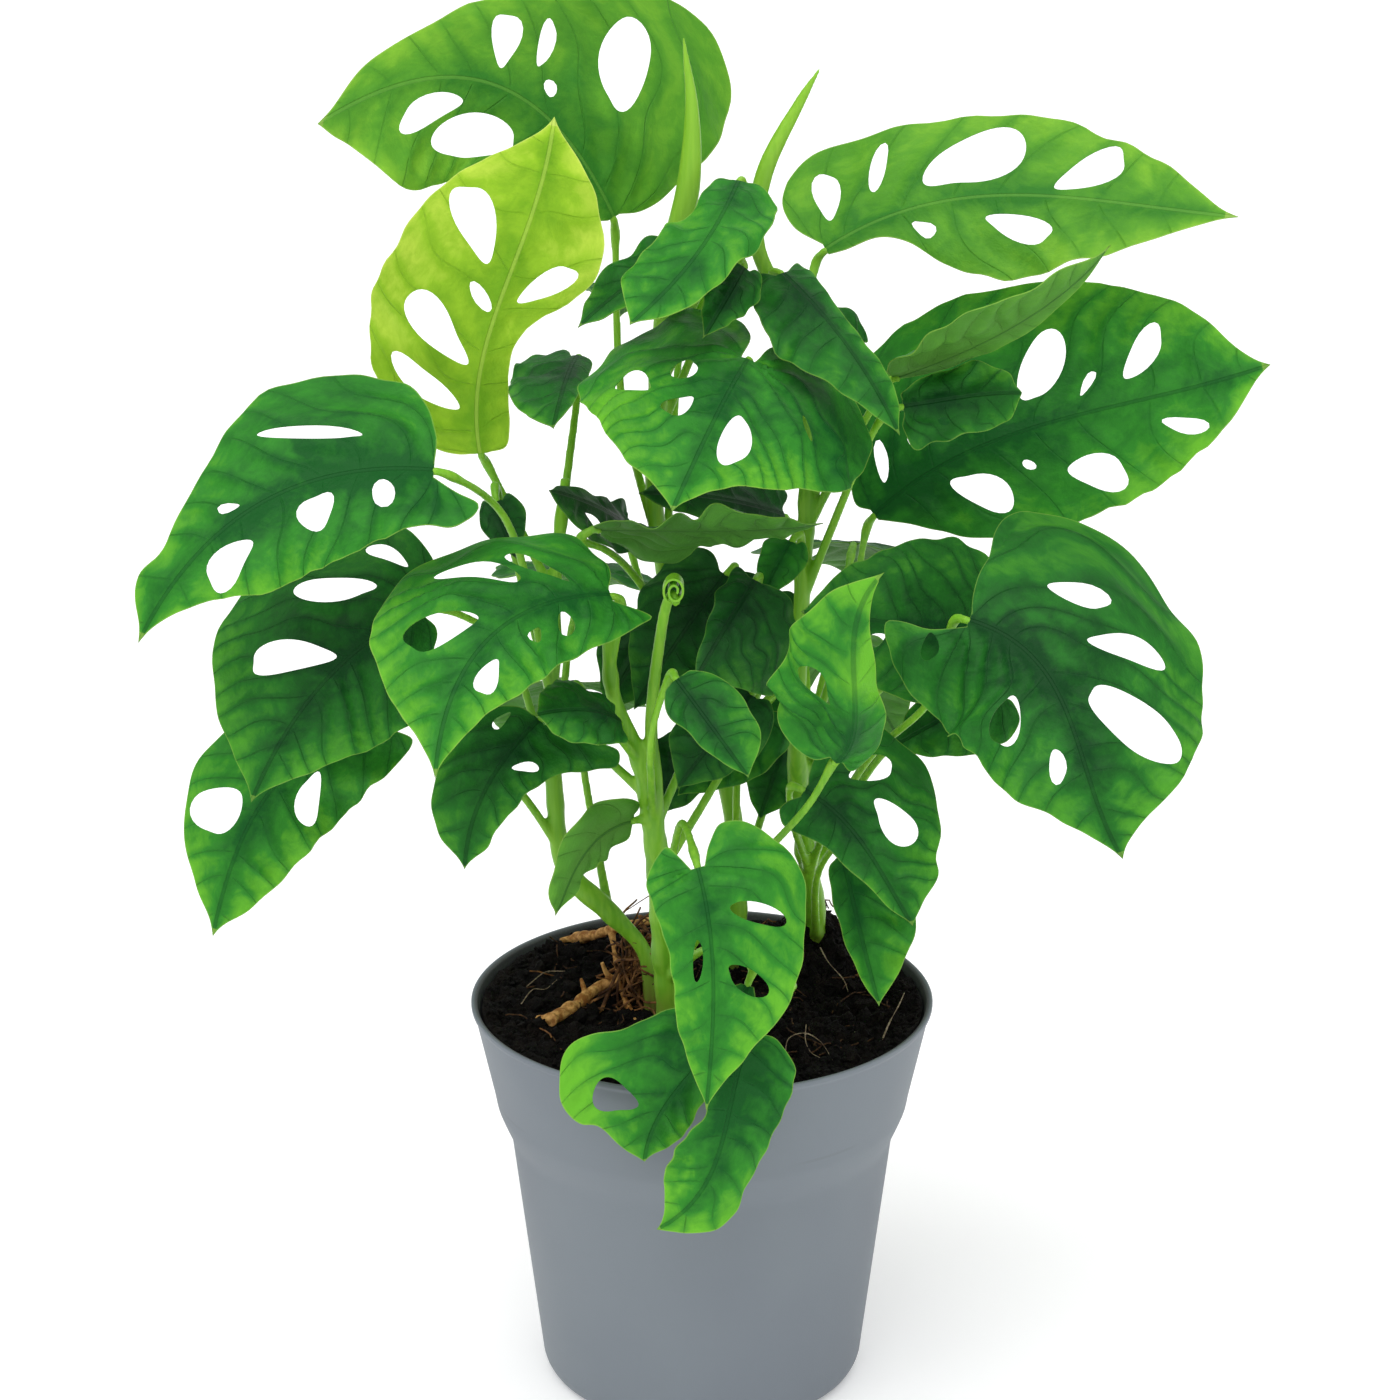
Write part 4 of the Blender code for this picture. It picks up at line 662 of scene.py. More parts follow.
LEAVES = (
    LeafPlan("leaf_top_left", (-22, 14, 308), (-92, -14, 337), (0, -0.93, 0.35), (5, 10), Tone.SUNLIT,
             ((-3, 10), (0, 36), (5, 58), (15, 66), (27, 56), (42, 38), (66, 17), (83, 10)),
             ((1, 5), (9, 18), (36, 28), (62, 31), (87, 30), (97, 15)),
             ((50, 14, 17, 7, 83), (40, 19, 16, 4, 84), (34, 8, 5, 4, 85), (23, 31, 28, 11, 79),
              (71, -9, 24, 8, 12), (52, -16, 40, 13, 13)), sway=(46, 48), curl=(-12, -12)),
    LeafPlan("leaf_lime", (-55, -2, 252), (-35, -20, 340), (-0.15, -0.95, 0.25), (5, 15), Tone.LIME,
             ((1, 7), (9, 9), (20, 8), (39, 8), (61, 21), (72, 20), (89, 10)),
             ((0, 6), (3, 14), (14, 24), (27, 31), (46, 32), (65, 28), (80, 20), (92, 9)),
             ((66, -13, 24, 10, 31), (46, -5, 10, 4, 52), (56, 10, 19, 6, 36), (34, -14, 23, 10, 53),
              (18, -14, 21, 7, 56)), sway=(-20, 10), curl=(15, 20), fold=(5, -15)),
    LeafPlan("leaf_left", (-64, -42, 259), (-134, -58, 221), (-0.15, -0.8, 0.6), (15, 20), Tone.FRESH,
             ((0, 10), (6, 30), (18, 37), (35, 38), (55, 22), (75, 11), (88, 11)),
             ((-7, 6), (-14, 9), (-9, 16), (2, 17), (26, 24), (63, 24), (88, 6)),
             ((29, 16, 26, 5, 25), (57, 5, 7, 3, 27), (34, -9, 13, 10, 39), (13, -7, 8, 7, 77),
              (67, -9, 20, 10, 4)), sway=(33, 29), curl=(-20, -30),
             painted_lights=((5, -10, 25, -15), (40, 20, 80, -12))),
    LeafPlan("leaf_top_right", (31, 22, 298), (131, 0, 311), (0, -0.75, 0.65), (8, 12), Tone.SUNLIT,
             ((4, 3), (12, 4), (19, 8), (28, 16), (46, 21), (66, 16), (87, 5)),
             ((-4, 11), (-3, 21), (4, 27), (18, 24), (42, 23), (53, 22), (73, 15), (91, 6)),
             ((5, -14, 15, 5, 81), (16, -14, 12, 4, 68), (37, -11, 23, 14, 28), (64, -8, 19, 8, 34),
              (49, 8, 19, 6, 14), (24, 6, 7, 4, 45)), sway=(-29, -4), curl=(-12, -20)),
    LeafPlan("leaf_right", (44, 18, 230), (141, 4, 273), (0, -0.85, 0.5), (8, 10), Tone.FRESH,
             ((4, 6), (16, 17), (35, 24), (52, 24), (70, 20), (88, 10)),
             ((-2, 5), (1, 11), (9, 26), (19, 35), (39, 36), (65, 30), (84, 20), (95, 7)),
             ((48, -14, 18, 10, 63), (72, -11, 15, 6, 44), (58, -7, 7, 2, 48), (56, 14, 15, 8, 19),
              (27, 10, 17, 8, 43), (40, 8, 4, 2, 44), (78, 8, 10, 4, 21), (17, -10, 5, 4, 47),
              (8, -9, 10, 3, 68)), sway=(-21, 1), curl=(-15, -20),
             painted_lights=((75, 20, 25, 20), (10, -10, 30, -20))),
    LeafPlan("leaf_right_turned", (47, -8, 273), (98, -22, 309), (-0.2, 0.55, 0.8), (-12, -20), Tone.FRESH,
             ((2, 10), (10, 20), (27, 30), (51, 37), (76, 22), (90, 9)),
             ((4, 5), (20, 9), (45, 10), (75, 6)), curl=(-30, -10)),
    LeafPlan("leaf_right_small", (49, -17, 268), (78, -12, 270), (0, -0.8, 0.5), (5, 25), Tone.MATURE,
             ((-3, 18), (4, 34), (29, 33), (60, 30), (85, 24), (96, 12)),
             ((0, 12), (23, 24), (59, 29), (79, 27), (95, 14)), ((31, 17, 10, 7, 35),)),
    LeafPlan("leaf_middle", (11, -26, 282), (-7, -70, 257), (0.1, -0.7, 0.7), (22, 22), Tone.FRESH,
             ((-28, 6), (-44, 22), (-42, 44), (-22, 64), (6, 75), (32, 75), (52, 61), (80, 34), (91, 16)),
             ((-26, 8), (-39, 32), (-34, 60), (-18, 73), (12, 75), (38, 66), (67, 38), (79, 18), (89, 8)),
             ((35, 43, 20, 14, 118), (20, 24, 16, 12, 5), (47, 18, 17, 11, 25), (55, -12, 31, 13, 6),
              (22, -38, 14, 5, 34)), curl=(-28, -28),
             painted_lights=((45, 45, 32, 35), (0, 0, 25, 20), (10, -60, 50, -35))),
    LeafPlan("leaf_crown", (9, 0, 320), (-17, -40, 294), (-0.2, -0.8, 0.55), (15, 20), Tone.FRESH,
             ((1, 9), (25, 15), (56, 22), (80, 23), (94, 15)),
             ((0, 8), (9, 20), (34, 22), (51, 18), (70, 15), (89, 8)),
             sway=(-15, -24), wave=(1.5, 1.7, 0.15), painted_lights=((35, 5, 30, 30), (70, 0, 50, -10))),
    LeafPlan("leaf_crown_right", (19.5, -4, 298), (47, -40, 267), (0.2, -0.6, 0.75), (15, 20), Tone.MATURE,
             ((-8, 10), (12, 22), (42, 28), (61, 20), (76, 12), (92, 5)),
             ((-6, 13), (9, 12), (31, 10), (59, 9), (73, 10), (88, 7)),
             curl=(-35, -30), wave=(1.2, 1.5, 0.6)),
    LeafPlan("leaf_middle_behind", (0, 1, 305), (-30, -15, 287), (-0.1, -0.6, 0.8), (10, 15), Tone.MATURE,
             ((2, 8), (20, 22), (45, 26), (70, 20), (88, 10)), ((4, 6), (25, 13), (50, 15), (80, 9)),
             curl=(-12, -20)),
    LeafPlan("leaf_crown_low", (10, -10, 301), (0, -29, 288), (0.15, -0.9, 0.4), (15, 20), Tone.MATURE,
             SLIM_HALF, SLIM_HALF, curl=(-30, -30)),
    LeafPlan("leaf_right_shade", (40, 4, 277), (24, -12, 290), (0.2, -0.8, 0.55), (12, 15), Tone.MATURE,
             SLIM_HALF, HALF),
    LeafPlan("leaf_upper_left_small", (-31, 12, 273), (-36, -24, 264), (-0.1, -0.8, 0.6), (15, 15),
             Tone.MATURE, ((-12, 9), (-20, 24), (-8, 38), (40, 41), (77, 28), (92, 13)),
             ((3, 9), (20, 13), (54, 12), (81, 6))),
    LeafPlan("leaf_inner_left", (-17, 23, 223), (-38, -15, 246), (-0.1, -0.75, 0.6), (10, 10), Tone.SHADED,
             ((-6, 16), (15, 16), (47, 9), (74, 8), (90, 5)),
             ((6, 14), (30, 20), (60, 23), (84, 18), (96, 8)), ((60, -10, 21, 7, 160),), curl=(-15, -15)),
    LeafPlan("leaf_inner_high", (21, 24, 228), (-16, -4, 242), (0, -0.7, 0.7), (10, 15), Tone.SHADED,
             ((-6, 15), (3, 26), (32, 25), (66, 16), (87, 8)), ((4, 9), (30, 12), (70, 11), (90, 7)),
             curl=(-15, -15)),
    LeafPlan("leaf_inner_flat", (-26, -20, 238), (29, -44, 246), (-0.05, 0.5, 0.85), (-2, -5), Tone.MATURE,
             ((4, 8), (20, 13), (44, 20), (68, 32), (80, 26), (91, 12)),
             ((-5, 20), (5, 38), (23, 40), (47, 22), (66, 18), (87, 7)), curl=(-10, 5), wave=(-2, 2, 0.1)),
    LeafPlan("leaf_front_left", (-22, -46, 229), (-62, -92, 199), (-0.05, -0.75, 0.65), (22, 18),
             Tone.FRESH,
             ((-4, 12), (0, 33), (15, 42), (28, 50), (41, 55), (56, 45), (69, 32), (79, 20), (89, 8)),
             ((-8, 6), (-14, 9), (-6, 13), (5, 19), (22, 22), (48, 23), (69, 17), (84, 9)),
             ((53, 17, 25, 12, 42), (61, -8, 17, 7, 4), (33, -9, 7, 5, 34), (19, -9, 9, 7, 68),
              (29, 28, 32, 7, 65), (16, 19, 22, 5, 65)), sway=(36, 35), curl=(-25, -35)),
    LeafPlan("leaf_left_second", (-69, -24, 218), (-110, -46, 176), (-0.1, -0.85, 0.5), (12, 15),
             Tone.MATURE, ((-6, 7), (-14, 17), (-8, 40), (12, 55), (32, 62), (57, 52), (74, 34), (87, 16)),
             ((-2, 9), (6, 20), (19, 33), (50, 33), (72, 22), (89, 8)),
             ((20, 28, 29, 10, 48), (47, 18, 36, 12, 51), (0, 28, 18, 6, 66)),
             sway=(21, 16), curl=(-15, -25), painted_lights=((30, 10, 80, -5),)),
    LeafPlan("leaf_left_low", (-78, -8, 183), (-124, -20, 130), (-0.1, -0.9, 0.4), (12, 15), Tone.FRESH,
             ((1, 8), (14, 16), (31, 25), (46, 28), (61, 26), (74, 21), (88, 9)),
             ((-6, 7), (3, 16), (16, 22), (38, 25), (67, 21), (84, 14)),
             ((61, 13, 19, 15, 36), (39, -12, 22, 9, 30)), sway=(40, 25), curl=(-20, -25)),
    LeafPlan("leaf_front_left_low", (-40, -34, 193), (-58, -50, 160), (-0.1, -0.9, 0.45), (15, 15),
             Tone.MATURE, ((2, 16), (20, 36), (43, 37), (61, 33), (79, 23), (91, 10)),
             ((-9, 13), (-17, 34), (-22, 47), (-15, 53), (4, 40), (26, 27), (53, 20), (86, 12)),
             ((14, 17, 12, 7, 7), (27, -13, 15, 7, 129)), sway=(17, 22), curl=(-20, -25)),
    LeafPlan("leaf_front_folded", (32, -64, 193), (42, -84, 247), (-0.35, -0.9, 0.15), (10, 15), Tone.FRESH,
             ((-8, 12), (9, 15), (24, 14), (44, 11), (62, 8), (80, 5)),
             ((-10, 7), (-12, 16), (-6, 31), (20, 40), (41, 38), (60, 30), (74, 19), (88, 8)),
             ((40, -18, 20, 13, 38),), sway=(27, -27), curl=(-15, -35), fold=(0, -50),
             painted_lights=((50, 12, 30, 80), (90, 3, 20, 50))),
    LeafPlan("leaf_front_right", (64, -50, 224), (99, -84, 176), (0.05, -0.85, 0.5), (15, 20), Tone.MATURE,
             ((-12, 7), (-28, 9), (-23, 19), (-10, 32), (13, 40), (35, 38), (56, 34), (71, 26), (80, 15),
              (90, 6)),
             ((-2, 9), (-3, 26), (-6, 44), (0, 57), (13, 66), (25, 65), (39, 62), (49, 57), (67, 45),
              (85, 28), (93, 14)),
             ((18, -31, 16, 8, 43), (35, -32, 25, 8, 63), (57, -22, 40, 16, 42), (41, 20, 23, 10, 30),
              (64, 9, 12, 6, 9), (-10, 13, 10, 6, 74)), sway=(-38, 3), curl=(-28, -32),
             painted_lights=((10, 0, 30, -10),)),
    LeafPlan("leaf_right_behind", (70, -22, 210), (24, -34, 221), (0, -0.9, 0.45), (10, 15), Tone.MATURE,
             ((-10, 16), (-10, 38), (12, 51), (36, 48), (53, 41), (68, 33), (90, 15)),
             ((-10, 16), (6, 34), (25, 38), (66, 30), (89, 13)), ((60, -9, 10, 6, 30),)),
    LeafPlan("leaf_right_under", (74, -4, 190), (46, -15, 178), (0, -0.85, 0.5), (10, 15), Tone.MATURE,
             SLIM_HALF, HALF),
    LeafPlan("leaf_right_low", (25, -46, 179), (51, -62, 150), (0.2, -0.9, 0.35), (15, 15), Tone.MATURE,
             ((-8, 14), (-2, 24), (25, 21), (51, 14), (78, 9)),
             ((-5, 14), (-3, 38), (10, 62), (31, 64), (55, 50), (81, 29), (95, 12)),
             ((18, -36, 28, 12, 73), (46, -24, 29, 19, 12)), sway=(-20, -4), curl=(-20, -25)),
    LeafPlan("leaf_right_lowest", (35, -34, 157), (44, -46, 122), (-0.1, -0.9, 0.35), (10, 15), Tone.FRESH,
             ((4, 10), (30, 12), (60, 10), (84, 6)),
             ((-4, 15), (12, 30), (34, 37), (58, 35), (80, 20), (92, 9))),
    LeafPlan("leaf_front_heart", (-1, -72, 169), (1, -88, 113), (0, -0.95, 0.3), (18, 12), Tone.FRESH,
             ((-6, 6), (-12, 10), (-8, 17), (2, 22), (21, 20), (42, 17), (63, 15), (85, 7)),
             ((-8, 7), (-15, 14), (-13, 24), (-3, 34), (7, 41), (21, 42), (39, 37), (58, 29), (70, 20),
              (85, 8)), ((37, 6, 18, 4, 7), (21, -20, 22, 8, 68), (46, -14, 19, 9, 61)),
             sway=(-14, -7), curl=(-22, -25), fold=(8, 8), painted_lights=((30, 0, 100, 10),)),
    LeafPlan("leaf_over_rim", (11, -66, 136), (-14, -68, 90), (-0.1, -0.97, 0.2), (8, 5), Tone.FRESH,
             ((4, 8), (18, 16), (31, 26), (55, 38), (72, 54), (82, 50), (92, 42), (92, 28), (97, 15)),
             ((10, 8), (43, 11), (56, 13), (76, 15), (92, 9)), ((79, 23, 21, 13, 81),),
             sway=(-14, 23), curl=(-8, -10), painted_lights=((40, 10, 60, -25), (85, 40, 25, 25))),
    LeafPlan("leaf_over_rim_front", (12, -75, 128), (-11, -81, 78), (0.05, -0.95, 0.25), (10, 10),
             Tone.FRESH, ((5, 7), (25, 10), (43, 11), (62, 19), (80, 16), (94, 6)),
             ((-1, 11), (6, 21), (23, 26), (42, 21), (63, 18), (77, 18), (88, 14), (96, 7)),
             sway=(0, -35), curl=(-12, -12), painted_lights=((30, -10, 50, -30), (90, 10, 30, 20))),
    LeafPlan("leaf_front_shiny", (-6, -56, 211), (11, -72, 192), (-0.1, -0.85, 0.5), (15, 15), Tone.MATURE,
             ((3, 13), (16, 20), (38, 20), (62, 15), (86, 7)),
             ((0, 14), (20, 28), (50, 34), (80, 27), (95, 12)), curl=(-30, -30), fold=(10, 10)),
    LeafPlan("leaf_front_under", (12, -32, 199), (-6, -42, 178), (0, -0.85, 0.5), (15, 15), Tone.SHADED,
             ((-4, 14), (8, 27), (35, 37), (62, 36), (85, 18)),
             ((-6, 14), (4, 30), (30, 36), (62, 28), (86, 12)), curl=(-25, -25)),
    LeafPlan("leaf_low_back", (-17, -32, 166), (-36, -44, 145), (-0.2, 0.8, 0.4), (-15, -25), Tone.FRESH,
             ((4, 16), (30, 24), (60, 20), (84, 10)), ((-4, 12), (12, 22), (40, 26), (70, 20), (90, 10)),
             sway=(-52, -46), curl=(30, 30)),
    LeafPlan("leaf_inner_right", (13, -28, 227), (-2, -50, 208), (0, -0.85, 0.5), (15, 20), Tone.SHADED,
             ((-6, 16), (10, 20), (34, 18), (69, 11), (86, 6)),
             ((-8, 22), (12, 50), (46, 66), (74, 58), (88, 28)), curl=(-30, -30)),
    LeafPlan("leaf_inner_curled", (-20, -44, 196), (-40, -62, 204), (0, -0.7, 0.7), (25, 30), Tone.MATURE,
             ((-6, 24), (20, 42), (51, 46), (86, 24)), ((-2, 18), (23, 27), (61, 30), (82, 22), (94, 11)),
             curl=(-40, -40)),
    LeafPlan("leaf_inner_deep", (6, 2, 219), (-17, -12, 188), (-0.1, -0.85, 0.5), (12, 18), Tone.SHADED,
             INNER_HALF, INNER_HALF, curl=(-25, -25)),
    LeafPlan("leaf_inner_far", (17, 15, 211), (3, 6, 185), (0, -0.85, 0.5), (12, 18), Tone.SHADED,
             INNER_HALF, INNER_HALF),
    LeafPlan("leaf_inner_low", (15, -14, 190), (-6, -20, 168), (0.05, -0.85, 0.5), (12, 18), Tone.MATURE,
             INNER_HALF, INNER_HALF),
    LeafPlan("leaf_inner_bright", (22, -15, 233), (15, -21, 220), (-0.2, -0.8, 0.55), (15, 25), Tone.FRESH,
             INNER_HALF, INNER_HALF, curl=(-45, -45), fold=(10, 10)),
    LeafPlan("leaf_inner_side", (-51, -7, 241), (-46, -9, 227), (-0.3, -0.85, 0.4), (12, 18), Tone.SHADED,
             INNER_HALF, INNER_HALF),
    LeafPlan("leaf_right_inner", (24, 20, 176), (15, 16, 148), (0, -0.9, 0.4), (12, 18), Tone.MATURE,
             INNER_HALF, INNER_HALF),
    LeafPlan("leaf_back_left", (-30, 50, 205), (-36, 114, 178), (0.1, 0.7, 0.75), (15, 20), Tone.MATURE,
             HALF, HALF, ((18, 20, 22, 7, 62), (42, 18, 24, 8, 48), (30, -19, 24, 7, 58)),
             sway=(10, 5), curl=(-22, -22)),
    LeafPlan("leaf_back_right", (40, 52, 212), (58, 114, 174), (0.2, 0.75, 0.7), (15, 20), Tone.MATURE,
             HALF, HALF, ((14, 20, 20, 6, 64), (38, 19, 26, 8, 50), (30, -19, 26, 8, 54)),
             sway=(-8, 6), curl=(-20, -24)),
    LeafPlan("leaf_back_high", (-4, 46, 286), (-22, 96, 262), (-0.1, 0.5, 0.85), (18, 20), Tone.MATURE,
             HALF, HALF, ((16, 19, 20, 7, 64), (42, 18, 22, 7, 48), (24, -19, 24, 8, 58)),
             sway=(6, -8), curl=(-24, -20)),
    LeafPlan("leaf_back_low_left", (-34, 56, 172), (-52, 100, 134), (-0.2, 0.85, 0.4), (12, 18),
             Tone.MATURE, HALF, SLIM_HALF, ((22, 19, 22, 7, 60), (48, 16, 20, 6, 44)), sway=(-8, 4)),
    LeafPlan("leaf_back_low_right", (30, 60, 184), (56, 96, 140), (0.15, 0.85, 0.45), (14, 18), Tone.MATURE,
             SLIM_HALF, HALF, ((20, -19, 22, 7, 60), (46, -17, 22, 7, 46)), sway=(8, -4), curl=(-22, -22)),
)
# Two small leaves deep inside, in the shaded green of painted shade, that fill the dark foliage there
SMALL_LEAVES = (
    LeafPlan("small_leaf_high", (-8.4, 16.1, 206), (-24.6, 2, 183), (-0.1, -0.85, 0.5), (10, 14),
             Tone.SHADED, SMALL_HALF, SMALL_HALF),
    LeafPlan("small_leaf_low", (-1.2, 18.2, 172), (-13.4, 6, 152), (0, -0.85, 0.5), (10, 14), Tone.SHADED,
             SMALL_HALF, SMALL_HALF),
)

# The leaves with the most uneven surface
CRIMPED = ("leaf_crown", "leaf_crown_right", "leaf_crown_low", "leaf_middle_behind", "leaf_right_small",
           "leaf_upper_left_small", "leaf_low_back", "leaf_front_folded")


class Blade:
    """The curved surface that a leaf's flat plan is laid on."""

    def __init__(self, plan: LeafPlan) -> None:
        """Work out the midrib's curve.

        Args:
            plan: The leaf.
        """
        self.plan = plan
        base, tip = np.array(plan.base, float), np.array(plan.tip, float)
        self.length = float(np.linalg.norm(tip - base))
        along = (tip - base) / self.length
        face = np.array(plan.face, float)
        self.face = unit(face - along * (face @ along))
        side = np.cross(along, self.face)
        rise, sway = np.tan(np.radians(plan.rise)), np.tan(np.radians(plan.sway))
        third = self.length / 3
        self.rib = (base, base + third * (along + self.face * rise[0] + side * sway[0]),
                    tip - third * (along - self.face * rise[1] - side * sway[1]), tip)

    def frame(self, along: np.ndarray) -> tuple[np.ndarray, np.ndarray, np.ndarray, np.ndarray]:
        """Follow the midrib.

        Args:
            along: The stations, in fractions of the length.

        Returns:
            The midrib's point, direction, side and face at each station.
        """
        u = np.clip(along, 0, None)[:, None]
        a, b, c, d = self.rib
        place = a * (1 - u)**3 + 3 * b * u * (1 - u)**2 + 3 * c * u * u * (1 - u) + d * u**3
        way = 3 * (b - a) * (1 - u)**2 + 6 * (c - b) * u * (1 - u) + 3 * (d - c) * u * u
        way /= np.linalg.norm(way, axis=1, keepdims=True)
        place = place + np.minimum(along, 0)[:, None] * way * self.length
        face = self.face - way * (way @ self.face)[:, None]
        face /= np.linalg.norm(face, axis=1, keepdims=True)
        return place, way, np.cross(way, face), face

    def points(self, flat: np.ndarray) -> np.ndarray:
        """Lay flat points on the curved blade.

        Args:
            flat: Rows of along and out, in fractions of the length.

        Returns:
            Their places in millimetres.
        """
        along, out = flat[:, 0], flat[:, 1]
        place, _, side, face = self.frame(along)
        right = out >= 0
        sign = np.where(right, 1.0, -1.0)
        fold = np.radians(np.where(right, self.plan.fold[1], self.plan.fold[0]))
        curl = np.radians(np.where(right, self.plan.curl[1], self.plan.curl[0])) / CURL_REACH
        reach = np.abs(out)
        across = (np.sin(fold + curl * reach) - np.sin(fold)) / curl
        lift = (np.cos(fold) - np.cos(fold + curl * reach)) / curl
        height, count, phase = self.plan.wave
        ripple = np.sin(TAU * (count * along + phase + 0.23 * sign))
        lift = lift + height / self.length * (reach / CURL_REACH)**2 * ripple
        return place + (sign * across * self.length)[:, None] * side + (lift * self.length)[:, None] * face


@dataclass
class Sheet:
    """A blade's fine triangles: flat places, distances to any edge and to the margin, and faces."""

    flat: np.ndarray
    edge: np.ndarray
    rim: np.ndarray
    faces: np.ndarray


@dataclass
class LeafMaker:
    """Makes a leaf blade as a thin closed sheet with raised veins and a rounded midrib.

    Shares, drift, ruffle and reaches are of the blade's length, and the rest is in millimetres.
    """

    plan: LeafPlan
    seed: int
    ruffle: float
    drift: float
    thickness: float = 0.5
    cells: float = 62.0
    cell_sizes: Pair = (0.75, 1.35)
    small_blade: float = 62.0
    vein_share: float = 0.125
    vein_slope: float = 0.35
    vein_bend: float = 1.2
    vein_waver: float = 0.22
    lobe_share: float = 0.276
    quilt: float = 0.021
    quilt_limit: float = 1.5
    groove_depth: float = 0.45
    groove_half_width: float = 1.5
    drift_reach: float = 0.32
    ruffle_reach: float = 0.22
    rib_radius: float = 0.85
    rib_half_width: float = 0.95
    rib_rows: tuple[float, ...] = (0.0, 0.6, -0.6, 1.35, -1.35)
    edge_waver: float = 0.42
    edge_wave: float = 9.0
    drip: float = 0.5
    drip_reach: float = 0.07

    def __post_init__(self) -> None:
        """Lay out the blade's surface and the size of its triangles."""
        self.blade = Blade(self.plan)
        small, large = self.cell_sizes
        self.gap = min(large, max(small, self.blade.length / self.cells))
        self.vein_share *= max(1.0, self.small_blade / self.blade.length) ** 0.6

    def margin(self) -> np.ndarray:
        """Draw the closed outline, up the right margin and down the left.

        Returns:
            The outline's points in millimetres.
        """
        length = self.blade.length
        notch = NOTCH_HALF_WIDTH / length
        sides = []
        for sign, points in ((1.0, self.plan.right), (-1.0, self.plan.left)):
            line = smooth([(0.0, notch), *(np.array(points) / 100), (1.0, 0.0)], 8)
            waver = self.edge_waver / length * swell(line * length, self.edge_wave, self.seed + 20)
            line[:, 1] += waver * ease(line[:, 1], 0.03, 0.15)
            line[:, 1] *= 1.0 - self.drip * bell(1.0 - line[:, 0], self.drip_reach)
            line[:, 1] = sign * np.maximum(line[:, 1], 0.002)
            line[-1] = (1.0, 0.0)
            sides.append(respaced(line * length, self.gap * 0.8))
        return np.vstack([sides[0], sides[1][-2::-1]])

    def hole(self, hole: tuple[float, ...]) -> np.ndarray:
        """Draw the egg shaped outline of one hole, wider towards the margin.

        Args:
            hole: The hole's row in the plan.

        Returns:
            The outline's points in millimetres.
        """
        along, out, length, width = (part / 100 for part in hole[:4])
        turn = math.radians(hole[4])
        count = max(12, round(1.6 * (length + width) * self.blade.length / self.gap))
        q = np.arange(count) * TAU / count
        sign = 1.0 if out >= 0 else -1.0
        lean = 9.0 * along + 5.0 * out
        uneven = 1.0 + 0.09 * np.sin(2 * q + lean) + 0.08 * np.sin(3 * q + 2.1 * lean)
        x = length / 2 * np.cos(q) * uneven
        y = width / 2 * np.sin(q) * (1 + 0.25 * np.cos(q)) * uneven
        loop = np.column_stack([along + x * math.cos(turn) - y * math.sin(turn),
                                out + sign * (x * math.sin(turn) + y * math.cos(turn))])
        return loop * self.blade.length

    def sheet(self) -> Sheet:
        """Triangulate the outline round its holes with an even inner grid.

        Returns:
            The flat sheet, its places in millimetres.
        """
        outline, gap = self.margin(), self.gap
        holes = [self.hole(hole) for hole in self.plan.holes]
        border = np.vstack([outline, *holes])
        links, start = [], 0
        for loop in (outline, *holes):
            count = len(loop)
            links += [(start + i, start + (i + 1) % count) for i in range(count)]
            start += count
        low, high = outline.min(0), outline.max(0)
        stations = np.arange(0.6, self.blade.length * 0.97, gap)
        inner = [(along, row) for row in self.rib_rows for along in stations]
        for number, out in enumerate(np.arange(low[1], high[1], gap * 0.866)):
            if abs(out) > max(self.rib_rows) + gap * 0.4:
                first = low[0] + gap / 2 * (number % 2)
                inner += [(along, out) for along in np.arange(first, high[0], gap)]
        inner = np.array(inner)
        inner = inner[on_blade(inner, outline, holes)]
        inner = inner[distance_to(inner, border) > gap * 0.45]
        points = [Vector(place) for place in np.vstack([border, inner])]
        verts, _, faces, *_ = delaunay_2d_cdt(points, links, [], 0, 1e-6)
        flat = np.array([tuple(vert) for vert in verts])
        faces = np.array([face for face in faces if len(face) == 3])
        faces = faces[on_blade(flat[faces].mean(1), outline, holes)]
        return Sheet(flat, distance_to(flat, border), distance_to(flat, outline), faces)

    def vein_phase(self, flat: np.ndarray) -> np.ndarray:
        """Number the side veins, which fan back from the base in the lobes.

        Args:
            flat: Flat places in millimetres.

        Returns:
            A number for each place, whole on a vein.
        """
        along, out = flat[:, 0] / self.blade.length, np.abs(flat[:, 1]) / self.blade.length
        straight = along - self.vein_bend * out**2
        foot = straight - self.vein_slope * out
        turn = np.arctan2(out, straight) - math.atan2(1.0, self.vein_slope)
        back = np.where(out + np.abs(straight) > 1e-6, -np.maximum(turn, 0.0) * self.lobe_share, 0.0)
        waver = self.vein_waver * swell(flat, 0.3 * self.blade.length, self.seed + 90)
        return np.where(foot >= 0.0, foot, back) / self.vein_share + 20.5 + waver

